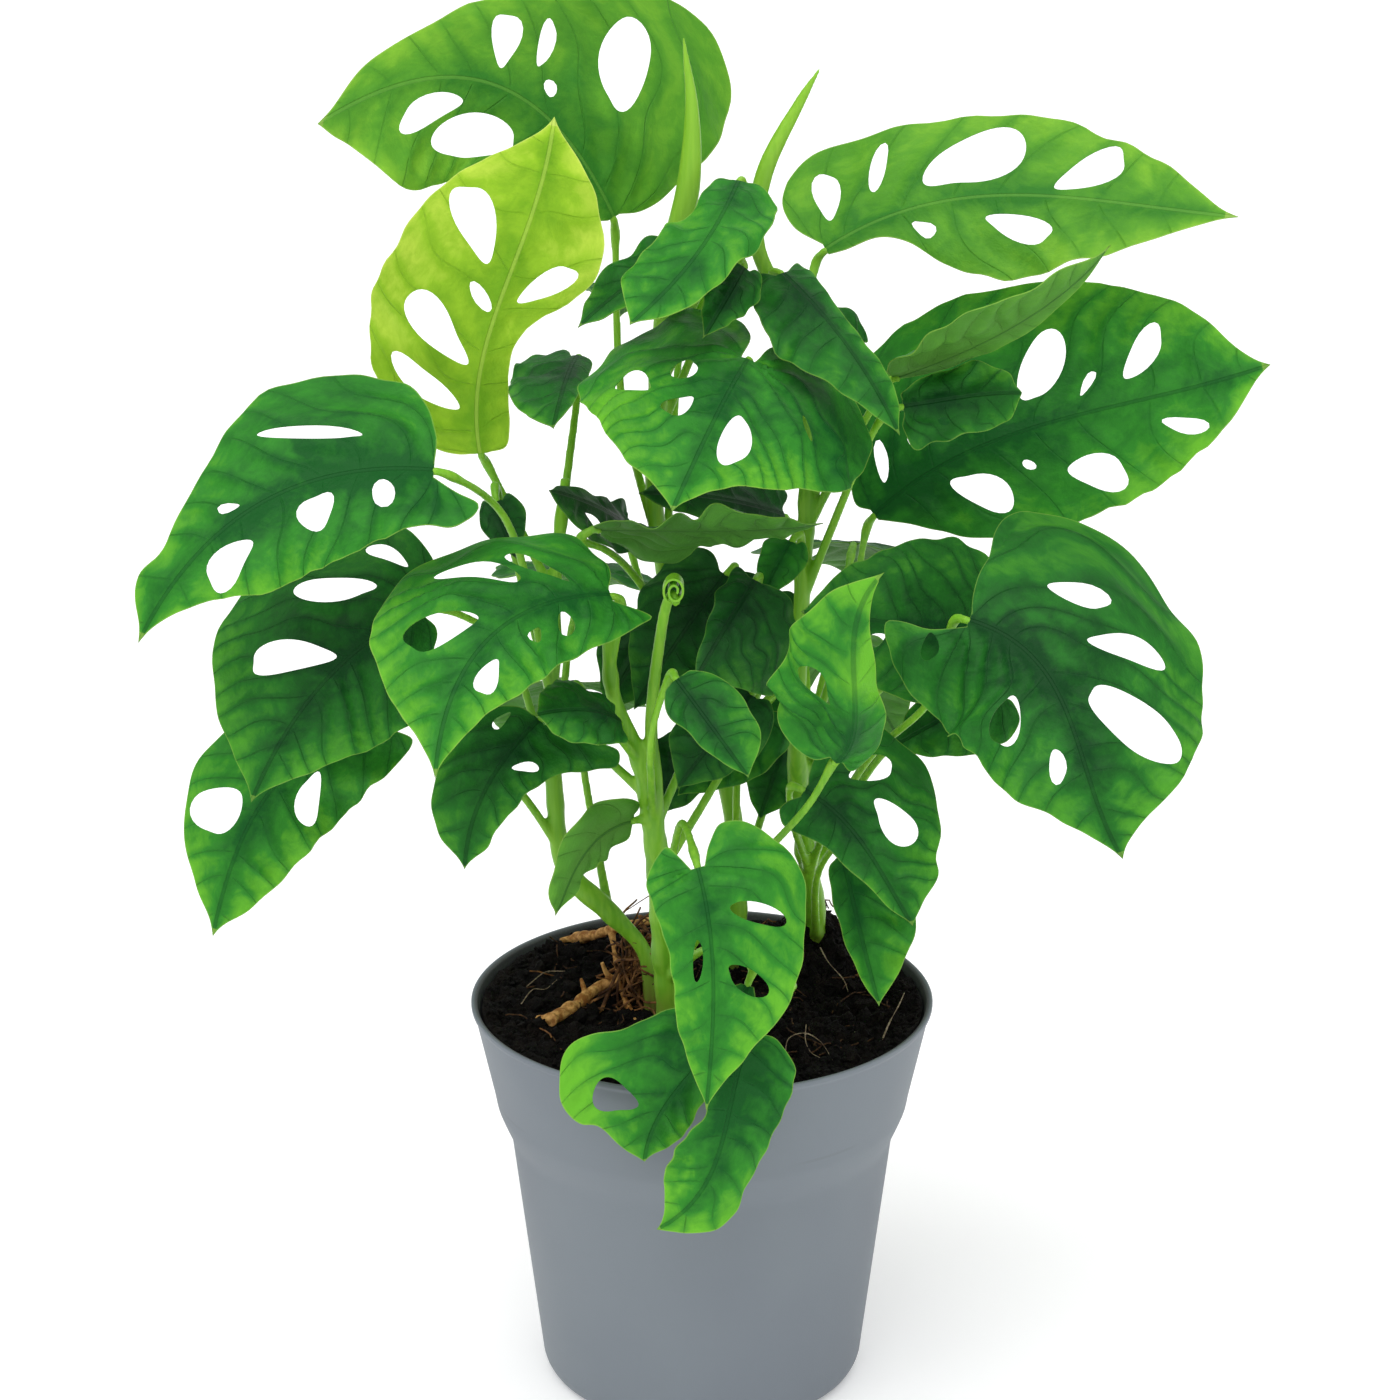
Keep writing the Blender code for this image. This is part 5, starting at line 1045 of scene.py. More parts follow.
    def relief(self, sheet: Sheet) -> np.ndarray:
        """Quilt the blade between its veins and ruffle its margin.

        Args:
            sheet: The flat sheet.

        Returns:
            How far each place stands proud of the plain blade, in millimetres.
        """
        flat, length = sheet.flat, self.blade.length
        out = np.abs(flat[:, 1])
        bulge = np.sin(math.pi * np.mod(self.vein_phase(flat), 1.0)) - 0.5
        height = min(self.quilt_limit, self.quilt * length)
        height = height * (0.75 + 0.35 * swell(flat, 0.35 * length, self.seed + 70))
        fade = ease(sheet.edge, 0.0, 0.05 * length) * ease(out, 0.4, 0.05 * length + 0.8)
        lift = height * bulge * fade - self.groove_depth * bell(out, self.groove_half_width)
        drift = self.drift * length * swell(flat, self.drift_reach * length, self.seed)
        ripple = self.ruffle * length * swell(flat, self.ruffle_reach * length, self.seed + 50)
        rim = 1.0 - ease(sheet.rim, 0.0, 0.12 * length)
        tipward = ease(out, 0.03 * length, 0.18 * length)
        return lift + drift * tipward + ripple * rim * tipward

    def painted_light(self, sheet: Sheet) -> np.ndarray:
        """Paint light and shade on the blade: painted shade at its base, painted light outwards, and the
        plan's own areas.

        Args:
            sheet: The flat sheet.

        Returns:
            How much painted light each place has.
        """
        out = np.abs(sheet.flat[:, 1])
        share = out / (out + sheet.rim + 0.5)
        along = sheet.flat[:, 0] / self.blade.length
        total = 0.12 + 0.40 * share**1.3 + 0.30 * ease(along, 0.1, 1.0) * (0.4 + 0.6 * share)
        for area in self.plan.painted_lights:
            middle, side, reach, strength = (part / 100 for part in area)
            away = np.hypot(along - middle, sheet.flat[:, 1] / self.blade.length - side)
            total += strength * (1.0 - ease(away, 0.15 * reach, reach))
        return total

    def mesh(self) -> bpy.types.Mesh:
        """Build the closed blade.

        Returns:
            A mesh in metres with the plan, vein, painted light and under attributes.
        """
        sheet = self.sheet()
        flat, faces = sheet.flat, sheet.faces
        length, count = self.blade.length, len(flat)
        middle = self.blade.points(flat / length)
        lifted = middle + normals(middle, faces) * self.relief(sheet)[:, None]
        up = normals(lifted, faces)
        face = self.blade.frame(flat[:, 0] / length)[3]
        if (up * face).sum() < 0:
            faces, up = faces[:, ::-1], -up
        half = self.thickness / 2 * (0.45 + 0.55 * ease(sheet.edge, 0.0, 2.0))
        along = np.clip(flat[:, 0] / length, 0.0, 1.0)
        rib = self.rib_radius * (1.0 - 0.8 * along) * bell(flat[:, 1], self.rib_half_width)
        rib *= ease(sheet.edge, 0.0, 1.2)
        sides = [lifted + up * half[:, None], lifted - up * (half + rib)[:, None]]
        closed = [*faces.tolist(), *(faces[:, ::-1] + count).tolist()]
        closed += [(b, a, a + count, b + count) for a, b in boundary(faces)]
        mesh = new_mesh(self.plan.name, np.vstack(sides), [], closed)
        phase, painted_light = self.vein_phase(flat), self.painted_light(sheet)
        store(mesh, "plan", np.tile(np.column_stack([flat, sheet.rim]), (2, 1)))
        store(mesh, "vein", np.tile(phase, 2))
        # The painted light and shade, which the leaf's material reads
        store(mesh, "painted_light", np.tile(painted_light, 2))
        store(mesh, "under", np.repeat([0.0, 1.0], count))
        finish_mesh(mesh, 50.0)
        return mesh


def normals(points: np.ndarray, faces: np.ndarray) -> np.ndarray:
    """Find the unit normal of an open sheet at each point.

    Args:
        points: The sheet's points.
        faces: Its triangles.

    Returns:
        A vector for each point.
    """
    a, b, c = points[faces[:, 0]], points[faces[:, 1]], points[faces[:, 2]]
    flat = np.cross(b - a, c - a)
    total = np.zeros_like(points)
    for corner in range(3):
        np.add.at(total, faces[:, corner], flat)
    size = np.linalg.norm(total, axis=1, keepdims=True)
    return total / np.where(size > 1e-12, size, 1.0)


def boundary(faces: np.ndarray) -> np.ndarray:
    """Find the edges that only one face has.

    Args:
        faces: Triangles.

    Returns:
        The edges, as those faces run round them.
    """
    edges = np.vstack([faces[:, [0, 1]], faces[:, [1, 2]], faces[:, [2, 0]]])
    _, first, counts = np.unique(np.sort(edges, axis=1), axis=0, return_index=True, return_counts=True)
    return edges[first[counts == 1]]


def new_mesh(name: str, points: np.ndarray, edges: list, faces: list) -> bpy.types.Mesh:
    """Make a mesh.

    Args:
        name: The mesh's name.
        points: Its points in millimetres.
        edges: Pairs of points.
        faces: Rings of points.

    Returns:
        The mesh in metres.
    """
    mesh = bpy.data.meshes.new(name)
    mesh.from_pydata((points * MM).tolist(), edges, faces)
    return mesh


def from_shape(name: str, shape: bmesh.types.BMesh) -> bpy.types.Mesh:
    """Turn a finished bmesh into a mesh.

    Args:
        name: The mesh's name.
        shape: The bmesh, which is freed.

    Returns:
        The mesh.
    """
    mesh = bpy.data.meshes.new(name)
    shape.to_mesh(mesh)
    shape.free()
    return mesh


def closed_shell(mesh: bpy.types.Mesh) -> bpy.types.Mesh:
    """Merge a closed mesh's doubled points and turn its faces outwards.

    Args:
        mesh: The closed mesh.

    Returns:
        A clean copy.
    """
    shape = bmesh.new()
    shape.from_mesh(mesh)
    bmesh.ops.remove_doubles(shape, verts=shape.verts, dist=0.00001)
    bmesh.ops.recalc_face_normals(shape, faces=shape.faces)
    return from_shape(mesh.name, shape)


def spots_of(points: Iterable) -> np.ndarray:
    """Return the places of a mesh's points in millimetres."""
    return np.array([tuple(point.co) for point in points]) / MM


def store(mesh: bpy.types.Mesh, name: str, values: np.ndarray) -> None:
    """Keep a value or a vector for each point of a mesh.

    Args:
        mesh: The mesh.
        name: The attribute's name.
        values: A number or a row for each point.
    """
    kind, key = ("FLOAT_VECTOR", "vector") if values.ndim == 2 else ("FLOAT", "value")
    attribute = mesh.attributes.new(name, kind, "POINT")
    attribute.data.foreach_set(key, np.ascontiguousarray(values, np.float32).ravel())


def finish_mesh(mesh: bpy.types.Mesh, sharp: float) -> None:
    """Shade a mesh smooth but for its sharp edges.

    Args:
        mesh: The mesh.
        sharp: The least angle of a sharp edge, in degrees.
    """
    mesh.validate()
    mesh.update()
    mesh.shade_smooth()
    mesh.set_sharp_from_angle(angle=math.radians(sharp))


def linked(name: str, data: bpy.types.ID) -> bpy.types.Object:
    """Put an object in the scene at the origin.

    Args:
        name: The object's name.
        data: Its mesh, lamp or camera.

    Returns:
        The object.
    """
    piece = bpy.data.objects.new(name, data)
    bpy.context.scene.collection.objects.link(piece)
    return piece


def applied(piece: bpy.types.Object) -> bpy.types.Mesh:
    """Apply an object's modifiers and remove it.

    Args:
        piece: The object.

    Returns:
        The plain mesh that is left.
    """
    depsgraph = bpy.context.evaluated_depsgraph_get()
    mesh = bpy.data.meshes.new_from_object(piece.evaluated_get(depsgraph))
    bpy.data.objects.remove(piece)
    return mesh


def dress(name: str, mesh: bpy.types.Mesh, material: bpy.types.Material, slot: str, *nodes: str) -> None:
    """Make a piece of a finished mesh, with its finish, its body and the solids that it stands for.

    Args:
        name: The piece's name.
        mesh: The finished mesh.
        material: Its only material.
        slot: The record's material slot; not used.
        nodes: The solids that it replaces.
    """
    piece = linked(name, mesh)
    mesh.materials.clear()
    mesh.materials.append(material)
    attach(piece, "root")
    if nodes:
        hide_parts(*nodes)
    LOG.info("%s: %d faces", name, len(mesh.polygons))


class ShapeGraph(Graph):
    """A Geometry Nodes tree with named inputs for its sizes and its material."""

    KINDS = {int: "Int", float: "Float", tuple: "Vector"}

    def __init__(self, name: str, **inputs: int | float | Point) -> None:
        """Make the tree and its inputs.

        Args:
            name: The tree's name.
            inputs: Each size's default value.
        """
        super().__init__(bpy.data.node_groups.new(name, "GeometryNodeTree"))
        self.keys = {}
        self._socket("Geometry", "Geometry")
        for key, value in inputs.items():
            self._socket(key, self.KINDS[type(value)]).default_value = value
        self._socket("Material", "Material")
        self._socket("Geometry", "Geometry", "OUTPUT")
        self.source = self.node("NodeGroupInput")

    def _socket(self, name: str, kind: str, side: str = "INPUT") -> bpy.types.NodeTreeInterfaceSocket:
        """Add an input or output to the tree.

        Args:
            name: The socket's name.
            kind: Its kind of value.
            side: INPUT or OUTPUT.

        Returns:
            The socket.
        """
        socket = self.tree.interface.new_socket(name, in_out=side, socket_type="NodeSocket" + kind)
        self.keys[name] = socket.identifier
        return socket

    def __getitem__(self, name: str) -> Wire:
        """Return one of the tree's inputs."""
        return self.source.out(name)

    def random(self, low: Wire | Point, high: Wire | Point, draw: float) -> Wire:
        """Return a random vector for each point, the seed moved on by the draw's number."""
        values = {0: low, 1: high, "Seed": self["Seed"] + draw}
        return self.node("FunctionNodeRandomValue", values, data_type="FLOAT_VECTOR")

    def strewn(self, instance: Wire, turn: Wire, share: Wire) -> Wire:
        """Strew copies over the bed.

        Args:
            instance: What is strewn.
            turn: Each copy's rotation.
            share: Each copy's scale.

        Returns:
            Real geometry.
        """
        places = {"Mesh": self["Geometry"], "Density": self["Density"], "Seed": self["Seed"]}
        spots = self.node("GeometryNodeDistributePointsOnFaces", places)
        copies = {"Points": spots, "Instance": instance, "Rotation": turn, "Scale": share}
        return self.node("GeometryNodeRealizeInstances",
                         {"Geometry": self.node("GeometryNodeInstanceOnPoints", copies)})

    def roughened(self, geometry: Wire, scale: float, middle: Point, reach: Wire) -> Wire:
        """Push points about by noise.

        Args:
            geometry: What is pushed.
            scale: The noise's waves to the metre.
            middle: The noise that leaves a point in place.
            reach: The push in metres of a full step of the noise.

        Returns:
            The pushed geometry.
        """
        noise = self.noise(self.node("GeometryNodeInputPosition"), scale, 1.0, output="Color")
        level = self.vector("SUBTRACT", noise, middle)
        push = self.node("ShaderNodeVectorMath", {0: level, "Scale": reach}, operation="SCALE")
        return self.node("GeometryNodeSetPosition", {"Geometry": geometry, "Offset": push})

    def swept(self, line: Wire, sides: Wire | int, radius: Wire | float, scale: Wire | float = 1.0) -> Wire:
        """Sweep a round section along curves.

        Args:
            line: The curves.
            sides: Points to the section.
            radius: Its radius.
            scale: Its scale at each point.

        Returns:
            Capped tubes.
        """
        section = self.node("GeometryNodeCurvePrimitiveCircle", {"Resolution": sides, "Radius": radius})
        return self.node("GeometryNodeCurveToMesh",
                         {"Curve": line, "Profile Curve": section, "Fill Caps": True, "Scale": scale})

    def finish(self, geometry: Wire) -> None:
        """End the tree with real geometry in the chosen material.

        Args:
            geometry: What the tree has made.
        """
        real = self.node("GeometryNodeRealizeInstances", {"Geometry": geometry})
        painted = self.node("GeometryNodeSetMaterial", {"Geometry": real, "Material": self["Material"]})
        self.node("NodeGroupOutput", {"Geometry": painted})

    def run(self, mesh: bpy.types.Mesh, material: bpy.types.Material, **inputs: object) -> bpy.types.Mesh:
        """Run the tree on a mesh.

        Args:
            mesh: The geometry that goes in.
            material: The material of what comes out.
            inputs: The tree's sizes.

        Returns:
            The plain mesh that comes out.
        """
        carrier = linked(mesh.name, mesh)
        modifier = carrier.modifiers.new("Shape", "NODES")
        modifier.node_group = self.tree
        for key, value in {**inputs, "Material": material}.items():
            modifier[self.keys[key]] = value
        return applied(carrier)


def tube_graph() -> ShapeGraph:
    """Make the tree that sweeps a round section along every edge path.

    Returns:
        A tree that reads the girth attribute of the paths.
    """
    graph = ShapeGraph("round shoots", Sides=14)
    girth = graph.node("GeometryNodeInputNamedAttribute", {"Name": "girth"}, data_type="FLOAT")
    line = graph.node("GeometryNodeMeshToCurve", {"Mesh": graph["Geometry"]})
    line = graph.node("GeometryNodeSetCurveRadius", {"Curve": line, "Radius": girth})
    graph.finish(graph.swept(line, graph["Sides"], 1.0, girth))
    return graph


def scatter_graph() -> ShapeGraph:
    """Make the tree that strews lumps over a bed.

    Returns:
        The tree.
    """
    graph = ShapeGraph("strewn lumps", Density=1e5, Seed=1, Size=MM, Least=(0.4, 0.4, 0.3),
                       Most=(1.2, 1.0, 0.8), Facets=1, Lump=0.4)
    ball = graph.node("GeometryNodeMeshIcoSphere", {"Radius": 1.0, "Subdivisions": graph["Facets"]})
    turn = graph.random((0.0, 0.0, 0.0), (TAU, TAU, TAU), 1.0)
    share = graph.random(graph["Least"], graph["Most"], 2.0)
    size = graph.node("ShaderNodeVectorMath", {0: share, "Scale": graph["Size"]}, operation="SCALE")
    reach = graph["Size"] * graph["Lump"] * 3.0
    graph.finish(graph.roughened(graph.strewn(ball, turn, size), 900.0, (0.5, 0.5, 0.5), reach))
    return graph


def fibre_graph() -> ShapeGraph:
    """Make the tree that strews short bent fibres over a bed.

    Returns:
        The tree.
    """
    graph = ShapeGraph("strewn fibres", Density=1e4, Seed=1, Length=0.012, Girth=0.0002, Bend=0.004,
                       Tilt=0.25)
    ends = [graph.node("ShaderNodeCombineXYZ", {"X": graph["Length"] * side}) for side in (-0.5, 0.5)]
    line = graph.node("GeometryNodeCurvePrimitiveLine", {"Start": ends[0], "End": ends[1]})
    low = graph.node("ShaderNodeCombineXYZ", {"Y": graph["Tilt"] * -1.0})
    high = graph.node("ShaderNodeCombineXYZ", {"Y": graph["Tilt"], "Z": TAU})
    share = graph.random((0.4, 1.0, 1.0), (1.3, 1.0, 1.0), 2.0)
    fine = graph.node("GeometryNodeResampleCurve",
                      {"Curve": graph.strewn(line, graph.random(low, high, 1.0), share), "Count": 9})
    bent = graph.roughened(fine, 120.0, (0.5, 0.5, 0.45), graph["Bend"] * 2.0)
    graph.finish(graph.swept(bent, 5, graph["Girth"]))
    return graph


def wire_mesh(name: str, runs: Sequence[np.ndarray]) -> bpy.types.Mesh:
    """Make a mesh of edge paths.

    Args:
        name: The mesh's name.
        runs: Each path's points and girth, in millimetres, as rows of four numbers.

    Returns:
        The wire in metres, with a girth attribute.
    """
    points = np.vstack(runs)
    edges, start = [], 0
    for run in runs:
        edges += [(start + i, start + i + 1) for i in range(len(run) - 1)]
        start += len(run)
    mesh = new_mesh(name, points[:, :3], edges, [])
    store(mesh, "girth", points[:, 3] * MM)
    return mesh


@dataclass(frozen=True)
class VinePlan:
    """One stem: its path, its thickness, its leaf stalks and its extra shoots.

    A stalk is the name of its leaf, its height on the stem and the points that it bends through.
    """

    name: str
    path: tuple[Point, ...]
    radii: tuple[float, ...]
    stalks: tuple[tuple, ...]
    extras: tuple[tuple[Point, ...], ...] = ()


VINES = (
    VinePlan("vine_front",
             ((-8, -22, 76), (-8, -22, 101), (-8, -22, 106), (-10, -26, 135), (-12, -29, 162),
              (-15, -32.5, 181), (-21.5, -35, 199), (-23, -38, 216)),
             (3.4, 3.4, 3.4, 2.9, 2.7, 2.3, 1.9, 1.5),
             (("leaf_front_left", 205), ("leaf_front_left_low", 172),
              ("leaf_front_heart", 138, (-5, -50, 172)), ("leaf_over_rim", 118, (2, -48, 138)),
              ("leaf_over_rim_front", 108, (16, -42, 120), (22, -62, 134)),
              ("leaf_front_shiny", 166, (-12, -48, 196)), ("leaf_front_under", 150, (8, -24, 182)),
              ("leaf_low_back", 128), ("leaf_inner_curled", 182), ("leaf_inner_right", 158, (2, -26, 196)),
              ("leaf_front_folded", 126, (10, -50, 158), (26, -62, 182))),
             (((-11, -30, 160), (-11.5, -33, 178), (-12.5, -34, 189), (-12, -35, 200), (-10.5, -37, 213),
               (-8.5, -40, 225), (-7, -42, 228), (-6, -44, 226)),)),
    VinePlan("vine_left",
             ((-13, -6, 78), (-13, -6, 101), (-13, -6, 106), (-15, -6, 120), (-24, -6, 131),
              (-34.5, -5, 142), (-37.5, -4, 162), (-37, -3, 215), (-34, 0, 245)),
             (2.2, 2.2, 2.2, 2.0, 2.3, 2.7, 2.0, 1.8, 1.3),
             (("leaf_lime", 205), ("leaf_left", 190, (-48, -20, 240)),
              ("leaf_left_second", 160, (-50, -10, 205)), ("leaf_left_low", 135, (-50, -6, 168)),
              ("leaf_upper_left_small", 235), ("leaf_inner_side", 200),
              ("leaf_back_left", 165, (-34, 24, 196)), ("leaf_back_low_left", 130, (-32, 32, 164)))),
    VinePlan("vine_right",
             ((30, 24, 78), (30, 24, 111), (30, 24, 117), (26, 10, 150), (24, -4, 178), (25, -6, 215),
              (26, -2, 250), (22, 4, 283), (13.5, 8, 303), (15.2, 10, 319.5), (23.7, 12, 336.7),
              (28.8, 12, 345.6)),
             (2.7, 2.7, 2.7, 2.5, 2.3, 2.1, 2.0, 2.0, 2.0, 2.2, 1.4, 0.4),
             (("leaf_top_right", 262), ("leaf_right", 170, (38, 6, 210)), ("leaf_right_turned", 232),
              ("leaf_right_small", 222),
              ("leaf_front_right", 140, (32, -12, 157), (42, -24, 180), (56, -42, 202)),
              ("leaf_right_behind", 160, (50, -6, 196), (66, -12, 206)),
              ("leaf_right_under", 140, (50, -10, 180)), ("leaf_right_low", 125, (22, -30, 168)),
              ("leaf_right_lowest", 112, (30, -22, 150)), ("leaf_crown_right", 262),
              ("leaf_right_shade", 240, (34, 2, 262)), ("leaf_inner_bright", 205),
              ("leaf_back_right", 165, (36, 30, 202)), ("leaf_back_low_right", 120, (28, 34, 170)))),
    VinePlan("vine_back",
             ((9, 20, 78), (9, 20, 104), (9, 20, 108), (8, 20, 148), (-5, 19, 195), (-12, 14, 235),
              (-11, 10, 265), (-7.5, 8, 299), (-3.4, 8, 317), (-2.5, 8, 336), (-4.6, 8, 354)),
             (2.7, 2.7, 2.7, 2.5, 2.3, 2.2, 2.3, 2.9, 3.0, 1.8, 0.4),
             (("leaf_top_left", 215, (-20, 16, 260)), ("leaf_middle", 254, (2, -8, 268)),
              ("leaf_crown", 262, (4, 10, 296)), ("leaf_crown_low", 256, (5, 12, 292), (8, 1, 303)),
              ("leaf_middle_behind", 268), ("leaf_inner_left", 170, (-14, 26, 204)),
              ("leaf_inner_high", 165, (14, 28, 205)),
              ("leaf_inner_flat", 190, (-18, 2, 220), (-24, -12, 230)),
              ("leaf_inner_deep", 175, (-2, 12, 205)), ("leaf_inner_far", 165, (6, 24, 194)),
              ("leaf_inner_low", 130, (10, 2, 172)), ("leaf_right_inner", 122, (18, 28, 152)),
              ("leaf_back_high", 225, (-6, 32, 266)))),
)


@dataclass
class VineMaker:
    """Makes a stem with its leaf stalks as one smooth grown shoot."""

    plan: VinePlan
    blades: dict[str, Blade]
    grain: float = 0.55
    stalk_girth: float = 1.2
    stalk_taper: float = 0.22
    sheath_girth: float = 1.5
    sheath_reach: float = 7.0
    knee_swell: float = 0.35
    knee_place: float = 7.0
    knee_reach: float = 3.2
    joint_swell: float = 0.45
    joint_reach: float = 2.6
    shoot_girths: Pair = (1.9, 1.15)

    def stem(self, steps: int) -> np.ndarray:
        """Return the stem's path and thickness in steps to each span."""
        return smooth(np.column_stack([self.plan.path, self.plan.radii]), steps)

    def stalk(self, leaf: str, height: float, *bends: Point) -> np.ndarray:
        """Return a leaf stalk's path, wide at its sheath and knee.

        Args:
            leaf: The leaf's name.
            height: Where it leaves the stem.
            bends: The points that it bends through.

        Returns:
            Rows of a point and a girth.
        """
        posts = self.stem(2)
        start = posts[np.argmin(np.abs(posts[:, 2] - height)), :3]
        seat, way, _, face = (part[0] for part in self.blades[leaf].frame(np.array([0.0])))
        end = seat - way * 0.75 - face * 0.2
        near = end - unit(way * 0.75 + face * 0.55) * 4.0
        line = np.vstack([smooth([start, *bends, near, end], 12), seat + way * 1.6 - face * 0.75])
        run = run_along(line)
        girth = self.stalk_girth + (self.sheath_girth - self.stalk_girth) * bell(run, self.sheath_reach)
        girth -= self.stalk_taper * ease(run, 0.0, run[-1])
        girth += self.knee_swell * bell((run[-1] - run) - self.knee_place, self.knee_reach)
        return np.column_stack([line, girth])

    def build(self, tubes: ShapeGraph, skin: bpy.types.Material) -> None:
        """Swell the stem at each stalk, sweep every path and grow them together.

        Args:
            tubes: The tree that sweeps a round section.
            skin: The stem's skin.
        """
        stem = self.stem(10)
        for _, height, *_ in self.plan.stalks:
            stem[:, 3] += self.joint_swell * bell(stem[:, 2] - height, self.joint_reach)
        runs = [stem] + [self.stalk(*stalk) for stalk in self.plan.stalks]
        for extra in self.plan.extras:
            line = smooth(extra, 10)
            runs.append(np.column_stack([line, np.linspace(*self.shoot_girths, len(line))]))
        name = self.plan.name.replace("vine", "shoots")
        mesh = tubes.run(wire_mesh(name, runs), skin, Sides=14)
        dress(name, grown(mesh, self.grain, 5), skin, "stem_green", self.plan.name)


def grown(mesh: bpy.types.Mesh, grain: float, smoothing: int) -> bpy.types.Mesh:
    """Fuse overlapping closed tubes into one even skin.

    Args:
        mesh: The tubes.
        grain: The skin's cell size in millimetres.
        smoothing: Rounds of smoothing.

    Returns:
        The fused mesh.
    """
    rough = linked("tubes", mesh)
    skin = rough.modifiers.new("Skin", "REMESH")
    skin.mode, skin.voxel_size = "VOXEL", grain * MM
    even = rough.modifiers.new("Even", "SMOOTH")
    even.factor, even.iterations = 0.5, smoothing
    made = applied(rough)
    finish_mesh(made, 180.0)
    return made


# Each root is a set of runs: its points, its radius at its start and its radius at its end
DRY_ROOTS = {
    "dry_root_front": (
        (((-39, -14, 104.2), (-33, -5, 104.2), (-26.4, 4, 106), (-19.3, 5, 109), (-13, 4, 117)), 2.0, 1.0),
        (((-38, -13, 104.4), (-41, -13, 103.8), (-42.5, -12, 103.6)), 1.5, 0.9),
        (((-23, 4.5, 107), (-25, 3.5, 110), (-26, 3, 113)), 1.1, 0.5),
        (((-30, -1, 105), (-31, 1, 107.5), (-31.5, 2, 109)), 1.0, 0.5),
        (((-17, 4.5, 112), (-17, 7, 115), (-19, 8, 119)), 0.9, 0.5),
        (((-22, 4, 107.5), (-19.5, -3, 104), (-17.5, -10, 103), (-17, -13, 102.6)), 1.0, 0.5)),
    "dry_root_left": (
        (((-33.5, 35, 106.6), (-28.5, 28, 110.5), (-20, 21, 116), (4.5, 20, 121)), 1.7, 1.1),
        (((-33, 34, 107), (-36, 35, 106.3), (-38, 34.5, 106)), 1.3, 0.8),
        (((-24, 23, 114), (-23, 17, 110), (-22.5, 13, 106)), 0.9, 0.5)),
}
STRAY_ROOTS = (
    (((21, -33, 103.4), (22, -31, 106.5), (26, -30, 107.5), (30, -32, 106), (33, -36, 102.6)), 0.2, 0.14),
    (((26.4, -29, 109.5), (26.2, -31, 106), (27.5, -33, 103.6), (30, -35, 102.8)), 0.18, 0.14),
    (((46, -24, 103), (48, -17, 104.5), (51, -9, 106.5), (52.5, -3, 107)), 0.26, 0.16),
    (((31, 12, 113.5), (33, 7, 111.5), (37, 3, 108), (38, -1, 106.4)), 0.2, 0.14),
    (((-46, 8, 104), (-42, 12, 106), (-40, 16, 105), (-36, 15, 105.5)), 0.22, 0.14),
    (((-47, -2, 103.4), (-44, 4, 105), (-41, 6, 104.2), (-38, 10, 105.2)), 0.2, 0.14),
)


@dataclass
class RootMaker:
    """Makes a dry forked root that lies on the soil."""

    runs: tuple[tuple[tuple[Point, ...], float, float], ...]
    grain: float = 0.3
    unevenness: float = 0.16
    lump: float = 5.0

    def build(self, tubes: ShapeGraph, bark: bpy.types.Material, name: str, *nodes: str) -> None:
        """Sweep the runs with an uneven girth and grow them together.

        Args:
            tubes: The tree that sweeps a round section.
            bark: The root's finish.
            name: The piece's name.
            nodes: The solids that it replaces.
        """
        lines = []
        for number, (points, start, end) in enumerate(self.runs):
            line = smooth(points, 14)
            girth = np.linspace(start, end, len(line))
            girth *= 1.0 + self.unevenness * swell(line, self.lump, 31 + number)
            lines.append(np.column_stack([line, girth]))
        mesh = tubes.run(wire_mesh(name, lines), bark, Sides=10)
        dress(name, grown(mesh, self.grain, 2), bark, "dry_root", *nodes)


@dataclass
class RootTangle:
    """The tangle of thin dry roots and old sheath threads round the stems' feet."""

    count: int = 84
    low: tuple[Pair, Pair] = ((-25.0, -4.0), (-8.0, 22.0))
    high: tuple[Pair, Pair, Pair] = ((-19.0, -8.0), (-8.0, 8.0), (108.0, 128.0))
    soil_height: float = 102.5
    girths: Pair = (0.18, 0.62)
    waver: float = 2.6
    seed: int = 17

    def build(self, tubes: ShapeGraph, material: bpy.types.Material) -> None:
        """Draw wavering threads from the soil up to the stems and sweep them.

        Args:
            tubes: The tree that sweeps a round section.
            material: The threads' finish.
        """
        draw = np.random.default_rng(self.seed)
        runs = []
        for _ in range(self.count):
            start = np.array([draw.uniform(*self.low[0]), draw.uniform(*self.low[1]), self.soil_height])
            end = np.array([draw.uniform(*pair) for pair in self.high])
            start = end * 0.55 + start * 0.45 if draw.random() < 0.4 else start
            start[2] = self.soil_height
            posts = [start + (end - start) * share + draw.normal(0.0, self.waver, 3)
                     for share in (0.0, 0.3, 0.6, 0.85, 1.0)]
            line = smooth(posts, 5)
            line[:, 2] = np.maximum(line[:, 2], self.soil_height)
            girth = draw.uniform(*self.girths)
            runs.append(np.column_stack([line, np.linspace(girth, girth * 0.4, len(line))]))
        mesh = tubes.run(wire_mesh("root_tangle", runs), material, Sides=6)
        finish_mesh(mesh, 60.0)
        dress("root_tangle", mesh, material, "dry_root")


